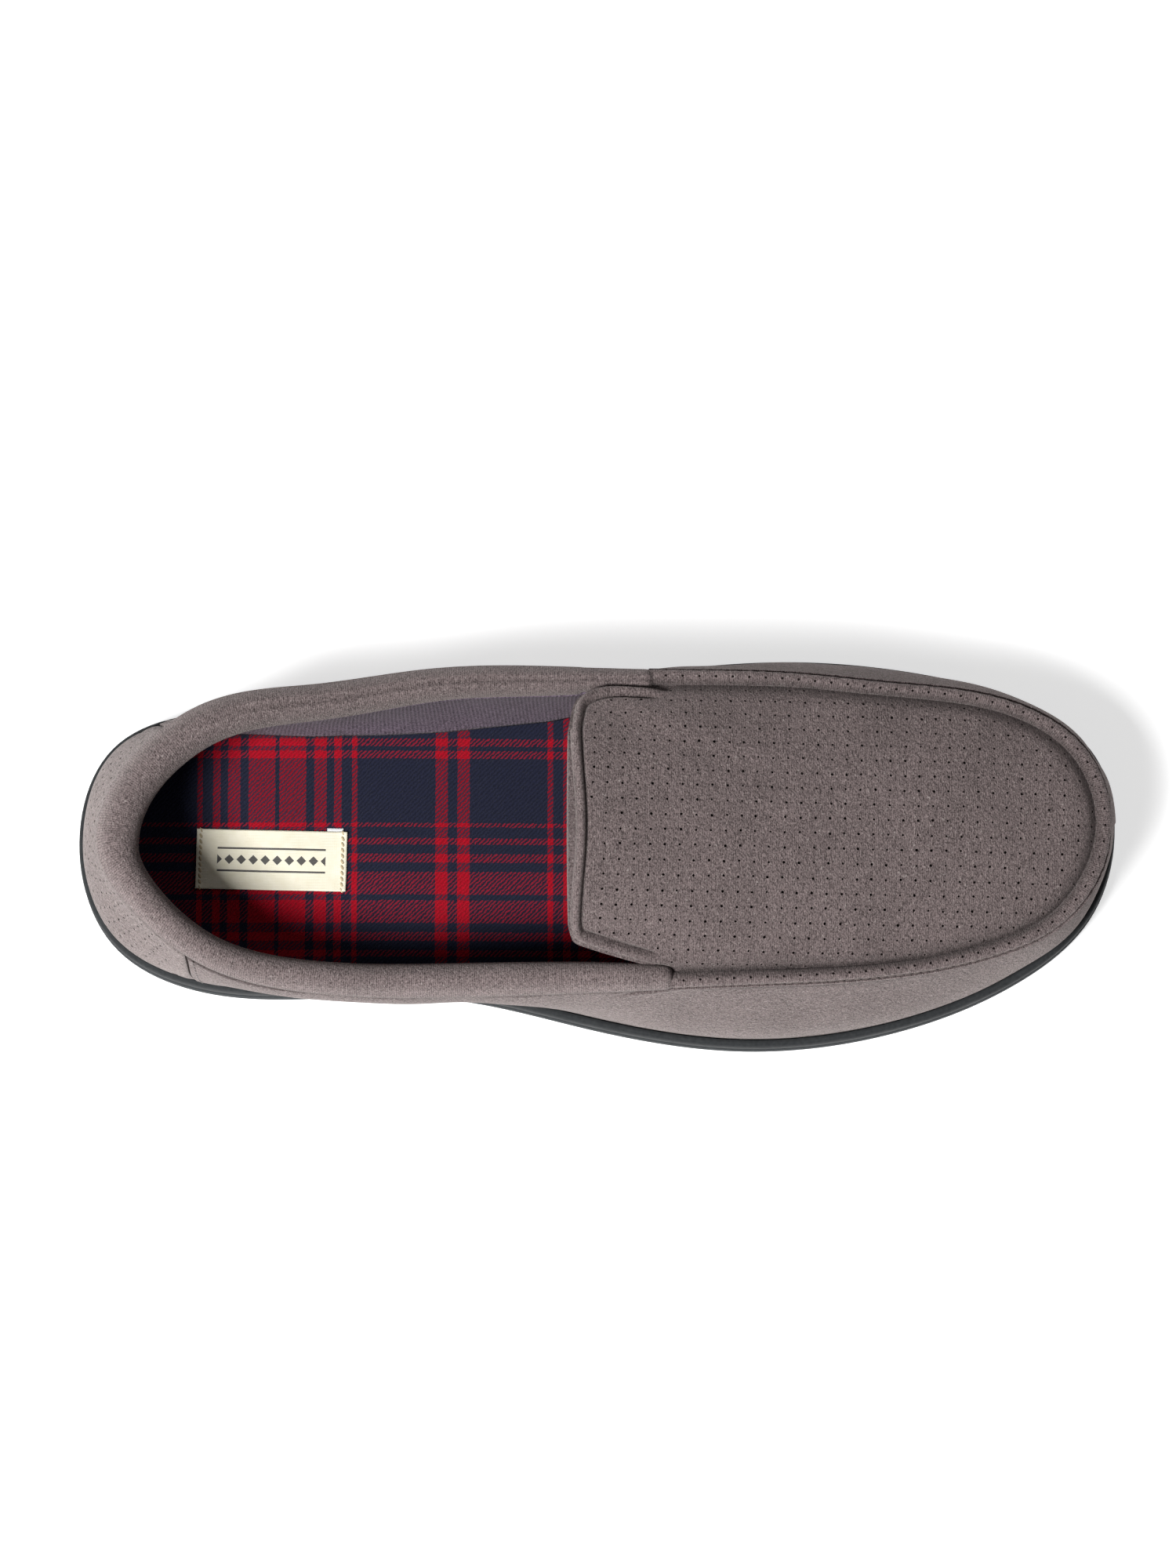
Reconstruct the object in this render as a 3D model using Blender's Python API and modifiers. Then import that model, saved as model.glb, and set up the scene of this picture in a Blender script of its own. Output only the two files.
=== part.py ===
"""Moccasin slipper for the right foot, one shoe, standing empty on its sole.

Metres. +X runs to the toe, +Y to the inner (medial) side and +Z up. The origin lies on the floor under
the middle of the sole. Every surface is worked out from one closed curve of stations round the shoe.
"""

import math
from collections import namedtuple

import bmesh
import bpy
import numpy as np

# Driving dimensions: the last
LENGTH = 0.295
BALL_WIDTH = 0.1115
HEEL_WIDTH = 0.081
HEEL_RIM = 0.054
INSTEP_RIM = 0.057
TOE_RIM = 0.039
INSTEP_PEAK = 0.078
TOE_PEAK = 0.050

# Driving dimensions: the sole
HEEL_STACK = 0.0165
BALL_STACK = 0.0125
LIP_WIDTH = 0.0027
LIP_HEIGHT = 0.003
ARCH_LIFT = 0.0025
TOE_SPRING = 0.005
HEEL_BEVEL = 0.0012
GROOVE_WIDTH = 0.0025
GROOVE_DEPTH = 0.0018
GROOVE_PITCH = 0.009
GROOVE_MARGIN = 0.010

# Driving dimensions: the soft pieces
GAP = 0.00035
THROAT_GAP = 0.0007
COLLAR_GAP = 0.00115
WALL = 0.0022
BULGE = 0.006
INSOLE_GAP = 0.0006
INSOLE_THICKNESS = 0.0062
INSOLE_DISH = 0.0012
INSOLE_DISH_RUN = 0.035
APRON_GAP = 0.00045
COUNTER_THICKNESS = 0.0009
COUNTER_BLEND = 0.040
APRON_THICKNESS = 0.0015
SEAM_WIDTH = 0.0045
SEAM_HEIGHT = 0.0024
FLAP_LENGTH = 0.0265
COLLAR_WIDTH = 0.0105
COLLAR_HEIGHT = 0.0115
LABEL_LENGTH = 0.0425
LABEL_WIDTH = 0.017
LABEL_THICKNESS = 0.0006

# Places along the shoe, as shares of LENGTH from its middle
THROAT_LATERAL = 0.063
THROAT_MEDIAL = 0.046
COUNTER_LATERAL = -0.383
COUNTER_MEDIAL = -0.402
HEEL_FLAT = -0.455
ARCH_BACK = -0.235
ARCH_FRONT = 0.02
SPRING_START = 0.335
STACK_FRONT = 0.08
LABEL_PLACE = -0.312
LABEL_OFFSET = -0.0027

# Stations round the shoe, from the back of the heel over the outer side to the toe and back.
# sole_x and rim_x are shares of LENGTH, sole_y and rim_y of the named width, rim_z of the named height,
# belly (low) and bulge (high) of BULGE, and collar and roll of COLLAR_WIDTH and COLLAR_HEIGHT.
Station = namedtuple(
    "Station", "name width sole_x sole_y rim_x rim_y height rim_z belly bulge collar roll"
)
STATIONS = [
    ("heel_back", HEEL_WIDTH, -0.499, 0.025, -0.461, -0.015, HEEL_RIM, 1.00, -0.3, 0.20, 1.00, 1.00),
    ("heel_outer", HEEL_WIDTH, -0.464, -0.325, -0.434, -0.222, HEEL_RIM, 0.98, -0.3, 0.20, 0.82, 1.00),
    ("counter_outer", HEEL_WIDTH, -0.380, -0.480, -0.366, -0.424, HEEL_RIM, 0.93, 0.0, 0.45, 0.74, 1.00),
    ("seat_outer", HEEL_WIDTH, -0.264, -0.502, -0.254, -0.519, HEEL_RIM, 0.86, 0.6, 0.75, 0.76, 0.98),
    ("waist_outer", HEEL_WIDTH, -0.142, -0.508, -0.142, -0.530, HEEL_RIM, 0.86, 0.8, 0.80, 0.80, 0.95),
    ("joint_outer", BALL_WIDTH, -0.017, -0.438, 0.012, -0.377, INSTEP_RIM, 0.93, 0.3, 0.75, 0.70, 0.80),
    ("ball_outer", BALL_WIDTH, 0.142, -0.500, 0.136, -0.368, INSTEP_RIM, 0.98, 0.2, 1.00, 0.36, 0.50),
    ("fore_outer", BALL_WIDTH, 0.288, -0.452, 0.271, -0.345, INSTEP_RIM, 0.87, 0.2, 0.90, 0.36, 0.50),
    ("toe_outer", BALL_WIDTH, 0.407, -0.323, 0.383, -0.278, TOE_RIM, 1.12, 0.3, 0.60, 0.36, 0.50),
    ("tip_outer", BALL_WIDTH, 0.473, -0.172, 0.446, -0.176, TOE_RIM, 1.03, 0.3, 0.50, 0.36, 0.50),
    ("toe_tip", BALL_WIDTH, 0.499, 0.035, 0.481, 0.025, TOE_RIM, 1.00, 0.3, 0.50, 0.36, 0.50),
    ("tip_inner", BALL_WIDTH, 0.479, 0.262, 0.454, 0.245, TOE_RIM, 1.03, 0.4, 0.50, 0.36, 0.50),
    ("toe_inner", BALL_WIDTH, 0.412, 0.395, 0.385, 0.353, TOE_RIM, 1.12, 0.4, 0.60, 0.36, 0.50),
    ("fore_inner", BALL_WIDTH, 0.305, 0.474, 0.278, 0.389, INSTEP_RIM, 0.88, 0.3, 0.85, 0.36, 0.50),
    ("ball_inner", BALL_WIDTH, 0.190, 0.501, 0.180, 0.406, INSTEP_RIM, 0.96, 0.2, 0.85, 0.36, 0.50),
    ("joint_inner", BALL_WIDTH, 0.017, 0.462, 0.027, 0.407, INSTEP_RIM, 1.00, 0.2, 0.70, 0.55, 0.65),
    ("waist_inner", HEEL_WIDTH, -0.142, 0.545, -0.142, 0.576, HEEL_RIM, 0.88, 0.6, 0.50, 0.98, 0.95),
    ("seat_inner", HEEL_WIDTH, -0.271, 0.496, -0.264, 0.518, HEEL_RIM, 0.87, 0.4, 0.50, 1.00, 0.98),
    ("counter_inner", HEEL_WIDTH, -0.380, 0.500, -0.366, 0.444, HEEL_RIM, 0.94, 0.0, 0.45, 1.00, 1.00),
    ("heel_inner", HEEL_WIDTH, -0.464, 0.385, -0.434, 0.245, HEEL_RIM, 0.98, -0.3, 0.20, 1.00, 1.00),
]

# The instep line from the flap to the toe: place as a share of LENGTH, height as a share of the named one
Crown = namedtuple("Crown", "name place height share")
CROWNS = [
    Crown("flap_back", -0.027, INSTEP_PEAK, 1.000),
    Crown("throat", 0.063, INSTEP_PEAK, 0.930),
    Crown("instep", 0.153, INSTEP_PEAK, 0.855),
    Crown("vamp", 0.254, INSTEP_PEAK, 0.755),
    Crown("plug_front", 0.355, TOE_PEAK, 1.060),
    Crown("toe_slope", 0.430, TOE_PEAK, 0.945),
    Crown("toe_border", 0.465, TOE_PEAK, 0.870),
    Crown("toe_tip", 0.481, TOE_RIM, 1.000),
]
CROWN_FULLNESS = 2.5

# The tongue flap behind the throat: run as a share of FLAP_LENGTH, insets from the plug's edge lines
# as shares of BALL_WIDTH
Flap = namedtuple("Flap", "name run lateral medial")
FLAPS = [
    Flap("back", 1.00, 0.105, 0.115),
    Flap("round", 0.96, 0.078, 0.062),
    Flap("corner", 0.87, 0.058, 0.024),
    Flap("side", 0.66, 0.040, 0.004),
    Flap("root", 0.38, 0.022, 0.000),
]

# The side of the sole from the lip down: inset as a share of LIP_WIDTH, rise as a share of its height
Edge = namedtuple("Edge", "name inset rise")
EDGES = [
    Edge("lip_inner", 1.00, 0.98),
    Edge("lip_crest", 0.62, 1.00),
    Edge("lip_round", 0.34, 0.95),
    Edge("band_top", 0.22, 0.85),
    Edge("band_foot", 0.18, 0.60),
    Edge("groove_top", 0.50, 0.56),
    Edge("groove_foot", 0.48, 0.50),
    Edge("wall_top", 0.06, 0.45),
    Edge("wall_middle", 0.00, 0.25),
    Edge("wall_foot", 0.12, 0.07),
    Edge("tread_edge", 0.60, 0.00),
]

# The edge of the insole from the floor up: inset as a share of its thickness, rise likewise
INSOLE_EDGES = [
    Edge("under", 0.00, 0.00),
    Edge("side", 0.00, 0.45),
    Edge("shoulder", 0.20, 0.84),
    Edge("top", 0.55, 1.00),
]

# The padded collar's section: reach inwards as a share of its width, rise as a share of its height
Roll = namedtuple("Roll", "name reach rise")
ROLLS = [
    Roll("seam", 0.03, 0.03),
    Roll("outer_low", -0.07, 0.26),
    Roll("outer", -0.05, 0.52),
    Roll("outer_high", 0.12, 0.82),
    Roll("top", 0.42, 1.00),
    Roll("inner_high", 0.76, 0.88),
    Roll("inner", 0.98, 0.54),
    Roll("inner_low", 0.97, 0.18),
    Roll("under", 0.78, 0.03),
]

# The raised seam's section: reach inwards as a share of its width, rise as a share of its height
RIDGES = [
    Roll("outer_foot", 0.04, 0.00),
    Roll("outer", 0.02, 0.45),
    Roll("outer_high", 0.20, 0.88),
    Roll("top", 0.48, 1.00),
    Roll("inner_high", 0.80, 0.78),
    Roll("inner_foot", 0.93, 0.00),
]

SIDE_STEPS = 42
REAR_STEPS = 23
FORE_STEPS = 17
WALL_STEPS = (0.06, 0.20, 0.36, 0.54, 0.72, 0.87, 1.0)
ACROSS = 12
DENSE = 1440

# The wall's curve from the lip to the rim, the rise of the lip towards the toe as a share of the spring,
# the lean of the plug's cut edge, and how much of the flap's inset falls on its back edge
LOW_REACH = 0.40
HIGH_REACH = 0.38
LIP_SPRING = 0.6
APRON_SLOPE = 0.8
FLAP_INSET = 0.3

# Fineness: the merge of doubled points, the step for slopes and the width of a seam column
MERGE = 0.00001
SLOPE_STEP = 0.0004
SEAM_COLUMN = 0.001


def closed_spline(knots, values):
    """Smooth closed curve through the rows of values at the knots, with a period of 1."""
    count = len(knots)
    steps = np.diff(np.append(knots, 1.0 + knots[0]))
    slopes = (np.roll(values, -1, axis=0) - values) / steps[:, None]
    system = np.zeros((count, count))
    for i in range(count):
        before = (i - 1) % count
        system[i, before] += steps[before]
        system[i, i] += 2.0 * (steps[before] + steps[i])
        system[i, (i + 1) % count] += steps[i]
    bends = np.linalg.solve(system, 6.0 * (slopes - np.roll(slopes, 1, axis=0)))

    def at(u):
        u = np.mod(np.asarray(u, float) - knots[0], 1.0) + knots[0]
        i = np.searchsorted(knots, u, side="right") - 1
        after = (i + 1) % count
        h = steps[i][..., None]
        b = (u - knots[i])[..., None] / h
        a = 1.0 - b
        curve = ((a**3 - a) * bends[i] + (b**3 - b) * bends[after]) * h * h / 6.0
        return a * values[i] + b * values[after] + curve

    return at


def open_spline(places, values):
    """Smooth curve through values at rising places, straight at both ends."""
    count = len(places)
    steps = np.diff(places)
    slopes = np.diff(values) / steps
    system = np.eye(count)
    right = np.zeros(count)
    for i in range(1, count - 1):
        system[i, i - 1 : i + 2] = steps[i - 1], 2.0 * (steps[i - 1] + steps[i]), steps[i]
        right[i] = 6.0 * (slopes[i] - slopes[i - 1])
    bends = np.linalg.solve(system, right)

    def at(x):
        x = np.clip(x, places[0], places[-1])
        i = np.clip(np.searchsorted(places, x, side="right") - 1, 0, count - 2)
        b = (x - places[i]) / steps[i]
        a = 1.0 - b
        curve = ((a**3 - a) * bends[i] + (b**3 - b) * bends[i + 1]) * steps[i] ** 2 / 6.0
        return a * values[i] + b * values[i + 1] + curve

    return at


def station_table():
    """The stations as lengths: sole x, y, rim x, y, z, belly, bulge, collar width and height."""
    rows = []
    for s in map(Station._make, STATIONS):
        sole = (s.sole_x * LENGTH, s.sole_y * s.width)
        rim = (s.rim_x * LENGTH, s.rim_y * s.width, s.rim_z * s.height)
        collar = (s.collar * COLLAR_WIDTH, s.roll * COLLAR_HEIGHT)
        rows.append((*sole, *rim, s.belly * BULGE, s.bulge * BULGE, *collar))
    return np.array(rows)


INSOLE_INSET = LIP_WIDTH + GAP + WALL + INSOLE_GAP
TABLE = station_table()
CHORDS = np.linalg.norm(np.roll(TABLE[:, :2], -1, axis=0) - TABLE[:, :2], axis=1)
KNOTS = np.concatenate(([0.0], np.cumsum(CHORDS)[:-1])) / CHORDS.sum()
RAW_SHAPE = closed_spline(KNOTS, TABLE)
ALL_U = np.arange(DENSE) / DENSE
RAW = RAW_SHAPE(ALL_U)
CENTRE = (RAW[:, :2].max(axis=0) + RAW[:, :2].min(axis=0)) / 2.0
FIT = np.array([LENGTH, BALL_WIDTH]) / (RAW[:, :2].max(axis=0) - RAW[:, :2].min(axis=0))


def shape(u):
    """The station table read at u, centred and brought to the named length and ball width."""
    row = RAW_SHAPE(u)
    row[..., 0:2] = (row[..., 0:2] - CENTRE) * FIT
    row[..., 2:4] = (row[..., 2:4] - CENTRE) * FIT
    return row


def outward(u, column):
    """Unit normal in plan, away from the foot, of the sole (column 0) or of the rim (column 2)."""
    step = 0.25 / DENSE
    run = shape(u + step)[..., column : column + 2] - shape(u - step)[..., column : column + 2]
    normal = np.stack((run[..., 1], -run[..., 0]), axis=-1)
    return normal / np.linalg.norm(normal, axis=-1, keepdims=True)


SHAPE = shape(ALL_U)
RIM_TIP = int(np.argmax(SHAPE[:, 2]))
RIM_HEEL = int(np.argmin(SHAPE[:, 2]))


def half_indices(side):
    """Dense sample numbers along one side of the rim, from heel to toe."""
    if side == "lateral":
        return np.arange(RIM_HEEL, RIM_TIP + DENSE * (RIM_HEEL > RIM_TIP) + 1) % DENSE
    return np.arange(RIM_HEEL + DENSE * (RIM_HEEL < RIM_TIP), RIM_TIP - 1, -1) % DENSE


HALVES = {side: half_indices(side) for side in ("lateral", "medial")}


def rim_u(x, side):
    """Where along the curve the rim of one side passes x."""
    picked = HALVES[side]
    unrolled = np.unwrap(ALL_U[picked], period=1.0)
    return float(np.interp(x, SHAPE[picked, 2], unrolled)) % 1.0


def smooth(value):
    """Ease from 0 to 1."""
    value = np.clip(value, 0.0, 1.0)
    return value * value * (3.0 - 2.0 * value)


def spring(x):
    """Lift of the sole towards the tip of the toe."""
    start = SPRING_START * LENGTH
    return TOE_SPRING * np.clip((x - start) / (LENGTH / 2.0 - start), 0.0, 1.0) ** 2


def sole_bottom(x):
    """Height of the underside: flat at the heel and the ball, lifted at the arch, toe and heel end."""
    heel = HEEL_FLAT * LENGTH
    bevel = HEEL_BEVEL * np.clip((heel - x) / (heel + LENGTH / 2.0), 0.0, 1.0) ** 2
    along = np.clip((x / LENGTH - ARCH_BACK) / (ARCH_FRONT - ARCH_BACK), 0.0, 1.0)
    arch = ARCH_LIFT * np.sin(math.pi * along) ** 2
    return np.where((along > 0.0) & (along < 1.0), arch, 0.0) + spring(x) + bevel


def lip_top(x):
    """Height of the sole's lip."""
    along = smooth((x / LENGTH - ARCH_BACK) / (STACK_FRONT - ARCH_BACK))
    return HEEL_STACK + (BALL_STACK - HEEL_STACK) * along + LIP_SPRING * spring(x)


def seat(x):
    """Height of the sole's upper face inside the lip."""
    return lip_top(x) - LIP_HEIGHT


CROWN_LINE = open_spline(
    np.array([c.place * LENGTH for c in CROWNS]),
    np.array([c.share * c.height for c in CROWNS]),
)


def rim_at(x):
    """Rows of the lateral and medial rim at x: y, then z."""
    sides = []
    for side in ("lateral", "medial"):
        picked = HALVES[side]
        y = np.interp(x, SHAPE[picked, 2], SHAPE[picked, 3])
        z = np.interp(x, SHAPE[picked, 2], SHAPE[picked, 4])
        sides.append((y, z))
    return sides


def vamp_height(x, y):
    """Height of the upper over the foot, crowned between the two rims."""
    (y0, z0), (y1, z1) = rim_at(x)
    t = np.clip((y - y0) / np.maximum(y1 - y0, 1e-6), 0.0, 1.0)
    edge = z0 + (z1 - z0) * t
    middle = np.maximum(CROWN_LINE(x) - (z0 + z1) / 2.0, 0.0)
    return edge + middle * (1.0 - np.abs(2.0 * t - 1.0) ** CROWN_FULLNESS)


def vamp_point(x, y, lift=0.0):
    """Point of the vamp's outer face, moved along its normal by lift."""
    step = SLOPE_STEP
    slope_x = (vamp_height(x + step, y) - vamp_height(x - step, y)) / (2.0 * step)
    slope_y = (vamp_height(x, y + step) - vamp_height(x, y - step)) / (2.0 * step)
    normal = np.array([-slope_x, -slope_y, 1.0])
    normal /= np.linalg.norm(normal)
    return np.array([x, y, float(vamp_height(x, y))]) + lift * normal


def plug_line(side, inset):
    """x and y along the plug's edge on one side, at an inset from the rim, from heel to toe."""
    picked = HALVES[side]
    normals = outward(ALL_U[picked], 2)
    return SHAPE[picked, 2:4] - inset * normals


def plug_edges(x, inset):
    """The plug's lateral and medial edge at x, for an inset from the rim."""
    edges = []
    for side in ("lateral", "medial"):
        line = plug_line(side, inset)
        keep = np.maximum.accumulate(line[:, 0])
        edges.append(float(np.interp(x, keep, line[:, 1])))
    return edges


def flap_rows(inset):
    """x, lateral y and medial y of the tongue flap's rows, from its back edge to its root."""
    throat = THROAT_LATERAL * LENGTH
    lateral, medial = plug_edges(throat, SEAM_WIDTH + inset)
    rows = []
    for f in FLAPS:
        x = throat - f.run * (FLAP_LENGTH - FLAP_INSET * inset)
        rows.append((x, lateral + f.lateral * BALL_WIDTH, medial - f.medial * BALL_WIDTH))
    return rows


def flap_edges(x, inset):
    """Lateral and medial edge of the flap or plug at x, for an inset from the seam's inner line."""
    throat = THROAT_LATERAL * LENGTH
    if x >= throat:
        return plug_edges(x, SEAM_WIDTH + inset)
    rows = flap_rows(inset) + [(throat, *plug_edges(throat, SEAM_WIDTH + inset))]
    places = [row[0] for row in rows]
    return [float(np.interp(x, places, [row[side] for row in rows])) for side in (1, 2)]


def counter_ends():
    """u of the heel counter's medial and lateral edge, the heel lying between them."""
    medial = rim_u(COUNTER_MEDIAL * LENGTH, "medial")
    lateral = rim_u(COUNTER_LATERAL * LENGTH, "lateral")
    return (medial - 1.0 if medial > 0.5 else medial), lateral


def step_out(u):
    """How far the quarters stand out beside the heel counter, so that its face lies flush."""
    medial, lateral = counter_ends()
    away = min((u - lateral) % 1.0, (medial - u) % 1.0) * CHORDS.sum()
    return (COUNTER_THICKNESS + GAP) * (1.0 - float(smooth(away / COUNTER_BLEND)))


def wall_section(u, lift=0.0):
    """Points of the upper's outer face at u, from its foot inside the sole's lip up to the rim."""
    row = shape(u)
    normal = outward(u, 0)
    plan = row[0:2] - normal * (LIP_WIDTH + GAP)
    low = np.array([*plan, float(seat(plan[0])) + GAP])
    start = np.array([*plan, float(lip_top(plan[0])) + GAP])
    rim = row[2:5]
    out = np.array([*normal, 0.0])
    height = rim[2] - start[2]
    handle = start + out * row[5]
    handle[2] += LOW_REACH * height
    shoulder = rim + out * row[6]
    shoulder[2] -= HIGH_REACH * height
    points = [low, start]
    for t in WALL_STEPS:
        s = 1.0 - t
        curve = s**3 * start + 3 * s * s * t * handle + 3 * s * t * t * shoulder + t**3 * rim
        points.append(curve + out * lift)
    return points


def loose(points, faces, name):
    """A mesh object from points and faces, with its doubled points merged."""
    bm = bmesh.new()
    corners = [bm.verts.new(p) for p in points]
    for face in faces:
        bm.faces.new([corners[i] for i in face])
    bmesh.ops.remove_doubles(bm, verts=bm.verts, dist=MERGE)
    mesh = bpy.data.meshes.new(name)
    bm.to_mesh(mesh)
    bm.free()
    mesh.shade_smooth()
    return bpy.data.objects.new(name, mesh)


def material(name, colour, roughness):
    """A Principled material with a plain colour."""
    made = bpy.data.materials.new(name)
    made.use_nodes = True
    shader = made.node_tree.nodes["Principled BSDF"]
    shader.inputs["Base Color"].default_value = (*colour, 1.0)
    shader.inputs["Roughness"].default_value = roughness
    shader.inputs["Metallic"].default_value = 0.0
    made.diffuse_color = (*colour, 1.0)
    return made


def finish(piece, collection, colour, roughness):
    """Put a piece in its collection and give it its material."""
    collection.objects.link(piece)
    piece.data.materials.append(material(piece.name, colour, roughness))
    piece.data.set_sharp_from_angle(angle=math.radians(40.0))


def thicken(piece, thickness, side):
    """Give an open surface its thickness, outwards (side 1) or inwards (side -1)."""
    shell = piece.modifiers.new("Thickness", "SOLIDIFY")
    shell.thickness = thickness
    shell.offset = side
    shell.use_even_offset = True


def ring(inset, height_at):
    """Closed ring of points inside the sole's outline: lateral side to the toe, then the medial side."""
    toe = ALL_U[int(np.argmax(SHAPE[:, 0]))]
    heel = ALL_U[int(np.argmin(SHAPE[:, 0]))]
    lateral = np.linspace(heel - (heel > 0.5), toe, SIDE_STEPS + 1)
    medial = np.linspace(toe, heel + (heel < 0.5), SIDE_STEPS + 1)
    points = []
    for u in [*lateral, *medial[1:-1]]:
        plan = shape(u)[0:2] - inset * outward(u, 0)
        points.append((plan[0], plan[1], float(height_at(plan[0]))))
    return points


def bands(rings):
    """Faces between rings of equal count, the first ring's points numbered from 0."""
    count = 2 * SIDE_STEPS
    faces = []
    for r in range(rings - 1):
        for i in range(count):
            after = (i + 1) % count
            faces.append((r * count + i, r * count + after, (r + 1) * count + after, (r + 1) * count + i))
    return faces


def cap(points, faces, first, cuts, height_at, upward):
    """Close a ring that starts at point number first with strips across the shoe."""
    count = 2 * SIDE_STEPS
    rows = [[first]]
    for k in range(1, SIDE_STEPS):
        left, right = first + k, first + count - k
        row = [left]
        for j in range(1, cuts):
            t = j / cuts
            x = points[left][0] * (1 - t) + points[right][0] * t
            y = points[left][1] * (1 - t) + points[right][1] * t
            points.append((x, y, float(height_at(x, y))))
            row.append(len(points) - 1)
        rows.append(row + [right])
    rows.append([first + SIDE_STEPS])
    for before, after in zip(rows, rows[1:]):
        for j in range(cuts):
            corners = [before[min(j, len(before) - 1)], after[min(j, len(after) - 1)]]
            corners += [after[min(j + 1, len(after) - 1)], before[min(j + 1, len(before) - 1)]]
            face = list(dict.fromkeys(corners))
            faces.append(face if upward else face[::-1])


def groove_cutter(hidden):
    """Bars across the tread, under the ball and under the heel."""
    bm = bmesh.new()
    zones = ((ARCH_FRONT, SPRING_START), (HEEL_FLAT, ARCH_BACK))
    for back, front in zones:
        room = (front - back) * LENGTH - 2.0 * GROOVE_WIDTH
        count = max(int(room / GROOVE_PITCH), 1)
        for k in range(count):
            x = back * LENGTH + GROOVE_WIDTH + (k + 0.5) * room / count
            y0, y1 = sole_sides(x)
            made = bmesh.ops.create_cube(bm, size=1.0)["verts"]
            size = (GROOVE_WIDTH, y1 - y0 - 2.0 * GROOVE_MARGIN, 2.0 * GROOVE_DEPTH)
            bmesh.ops.scale(bm, vec=size, verts=made)
            bmesh.ops.translate(bm, vec=(x, (y0 + y1) / 2.0, 0.0), verts=made)
    mesh = bpy.data.meshes.new("groove_cutter")
    bm.to_mesh(mesh)
    bm.free()
    cutter = bpy.data.objects.new("groove_cutter", mesh)
    cutter.hide_render = True
    cutter.display_type = "WIRE"
    hidden.objects.link(cutter)
    return cutter


def sole_sides(x):
    """The sole's lateral and medial edge at x."""
    lower = SHAPE[SHAPE[:, 1] < 0.0]
    upper = SHAPE[SHAPE[:, 1] >= 0.0]
    edges = []
    for half in (lower, upper):
        order = np.argsort(half[:, 0])
        edges.append(float(np.interp(x, half[order, 0], half[order, 1])))
    return edges


def build_outsole(collection, hidden):
    """Rubber sole: a tread with cross grooves, a banded side and a lip round the upper."""
    rings = [ring(LIP_WIDTH, seat)]
    for edge in EDGES:

        def level(x, rise=edge.rise):
            return sole_bottom(x) + rise * (lip_top(x) - sole_bottom(x))

        rings.append(ring(edge.inset * LIP_WIDTH, level))
    points = [p for r in rings for p in r]
    faces = [face[::-1] for face in bands(len(rings))]
    count = 2 * SIDE_STEPS
    cap(points, faces, 0, 4, lambda x, y: seat(x), True)
    cap(points, faces, (len(rings) - 1) * count, 4, lambda x, y: sole_bottom(x), False)
    piece = loose(points, faces, "outsole")
    cut = piece.modifiers.new("Grooves", "BOOLEAN")
    cut.object = groove_cutter(hidden)
    cut.operation = "DIFFERENCE"
    cut.solver = "EXACT"
    finish(piece, collection, (0.042, 0.048, 0.052), 0.62)


def insole_height(x, y):
    """Height of the footbed, dished a little across."""
    y0, y1 = sole_sides(x)
    middle, half = (y0 + y1) / 2.0, max((y1 - y0) / 2.0 - INSOLE_INSET, 0.001)
    across = min(abs(y - middle) / half, 1.0)
    ends = float(smooth((LENGTH / 2.0 - abs(x)) / INSOLE_DISH_RUN))
    return float(seat(x)) + GAP + INSOLE_THICKNESS - INSOLE_DISH * (1.0 - across * across) * ends


def build_insole(collection):
    """Foam footbed inside the upper, with a rounded upper edge."""
    rings = []
    for edge in INSOLE_EDGES:

        def level(x, rise=edge.rise):
            return seat(x) + GAP + rise * INSOLE_THICKNESS

        rings.append(ring(INSOLE_INSET + edge.inset * INSOLE_THICKNESS, level))
    points = [p for r in rings for p in r]
    faces = bands(len(rings))
    cap(points, faces, 0, 2, lambda x, y: seat(x) + GAP, False)
    cap(points, faces, (len(rings) - 1) * 2 * SIDE_STEPS, 6, insole_height, True)
    finish(loose(points, faces, "insole"), collection, (0.16, 0.014, 0.03), 0.95)


def build_label(collection):
    """Small woven tab on the footbed."""
    points, faces = [], []
    along, across = 6, 3
    for i in range(along + 1):
        for j in range(across + 1):
            x = LABEL_PLACE * LENGTH + LABEL_LENGTH * (i / along - 0.5)
            y = LABEL_OFFSET + LABEL_WIDTH * (j / across - 0.5)
            points.append((x, y, insole_height(x, y) + GAP))
    for i in range(along):
        for j in range(across):
            a = i * (across + 1) + j
            faces.append((a, a + across + 1, a + across + 2, a + 1))
    piece = loose(points, faces, "label")
    thicken(piece, LABEL_THICKNESS, 1)
    finish(piece, collection, (0.78, 0.73, 0.57), 0.8)


def fore_places():
    """x of the strips over the forefoot, closer towards the tip of the toe."""
    start, tip = THROAT_LATERAL * LENGTH, SHAPE[RIM_TIP, 2]
    angles = np.linspace(0.0, math.pi / 2.0, FORE_STEPS + 1)
    return list(start + (tip - start) * np.sin(angles))


def rear_columns():
    """u of the wall's columns round the heel, from throat to throat, with a pair at each counter edge."""
    start = rim_u(THROAT_MEDIAL * LENGTH, "medial")
    end = rim_u(THROAT_MEDIAL * LENGTH, "lateral")
    half = SEAM_COLUMN / 2.0 / CHORDS.sum()
    medial, lateral = counter_ends()
    seams = [medial - half, medial + half, lateral - half, lateral + half]
    even = np.linspace(start - 1.0 if start > 0.5 else start, end, 2 * REAR_STEPS + 1)[1:-1]
    clear = (even[1] - even[0]) / 3.0
    kept = [u for u in even if min(abs(u - s) for s in seams) > clear]
    return sorted(kept + seams)


def in_counter(u):
    """Whether a column of the wall lies behind the heel counter."""
    medial, lateral = counter_ends()
    return medial < u < lateral


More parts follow.
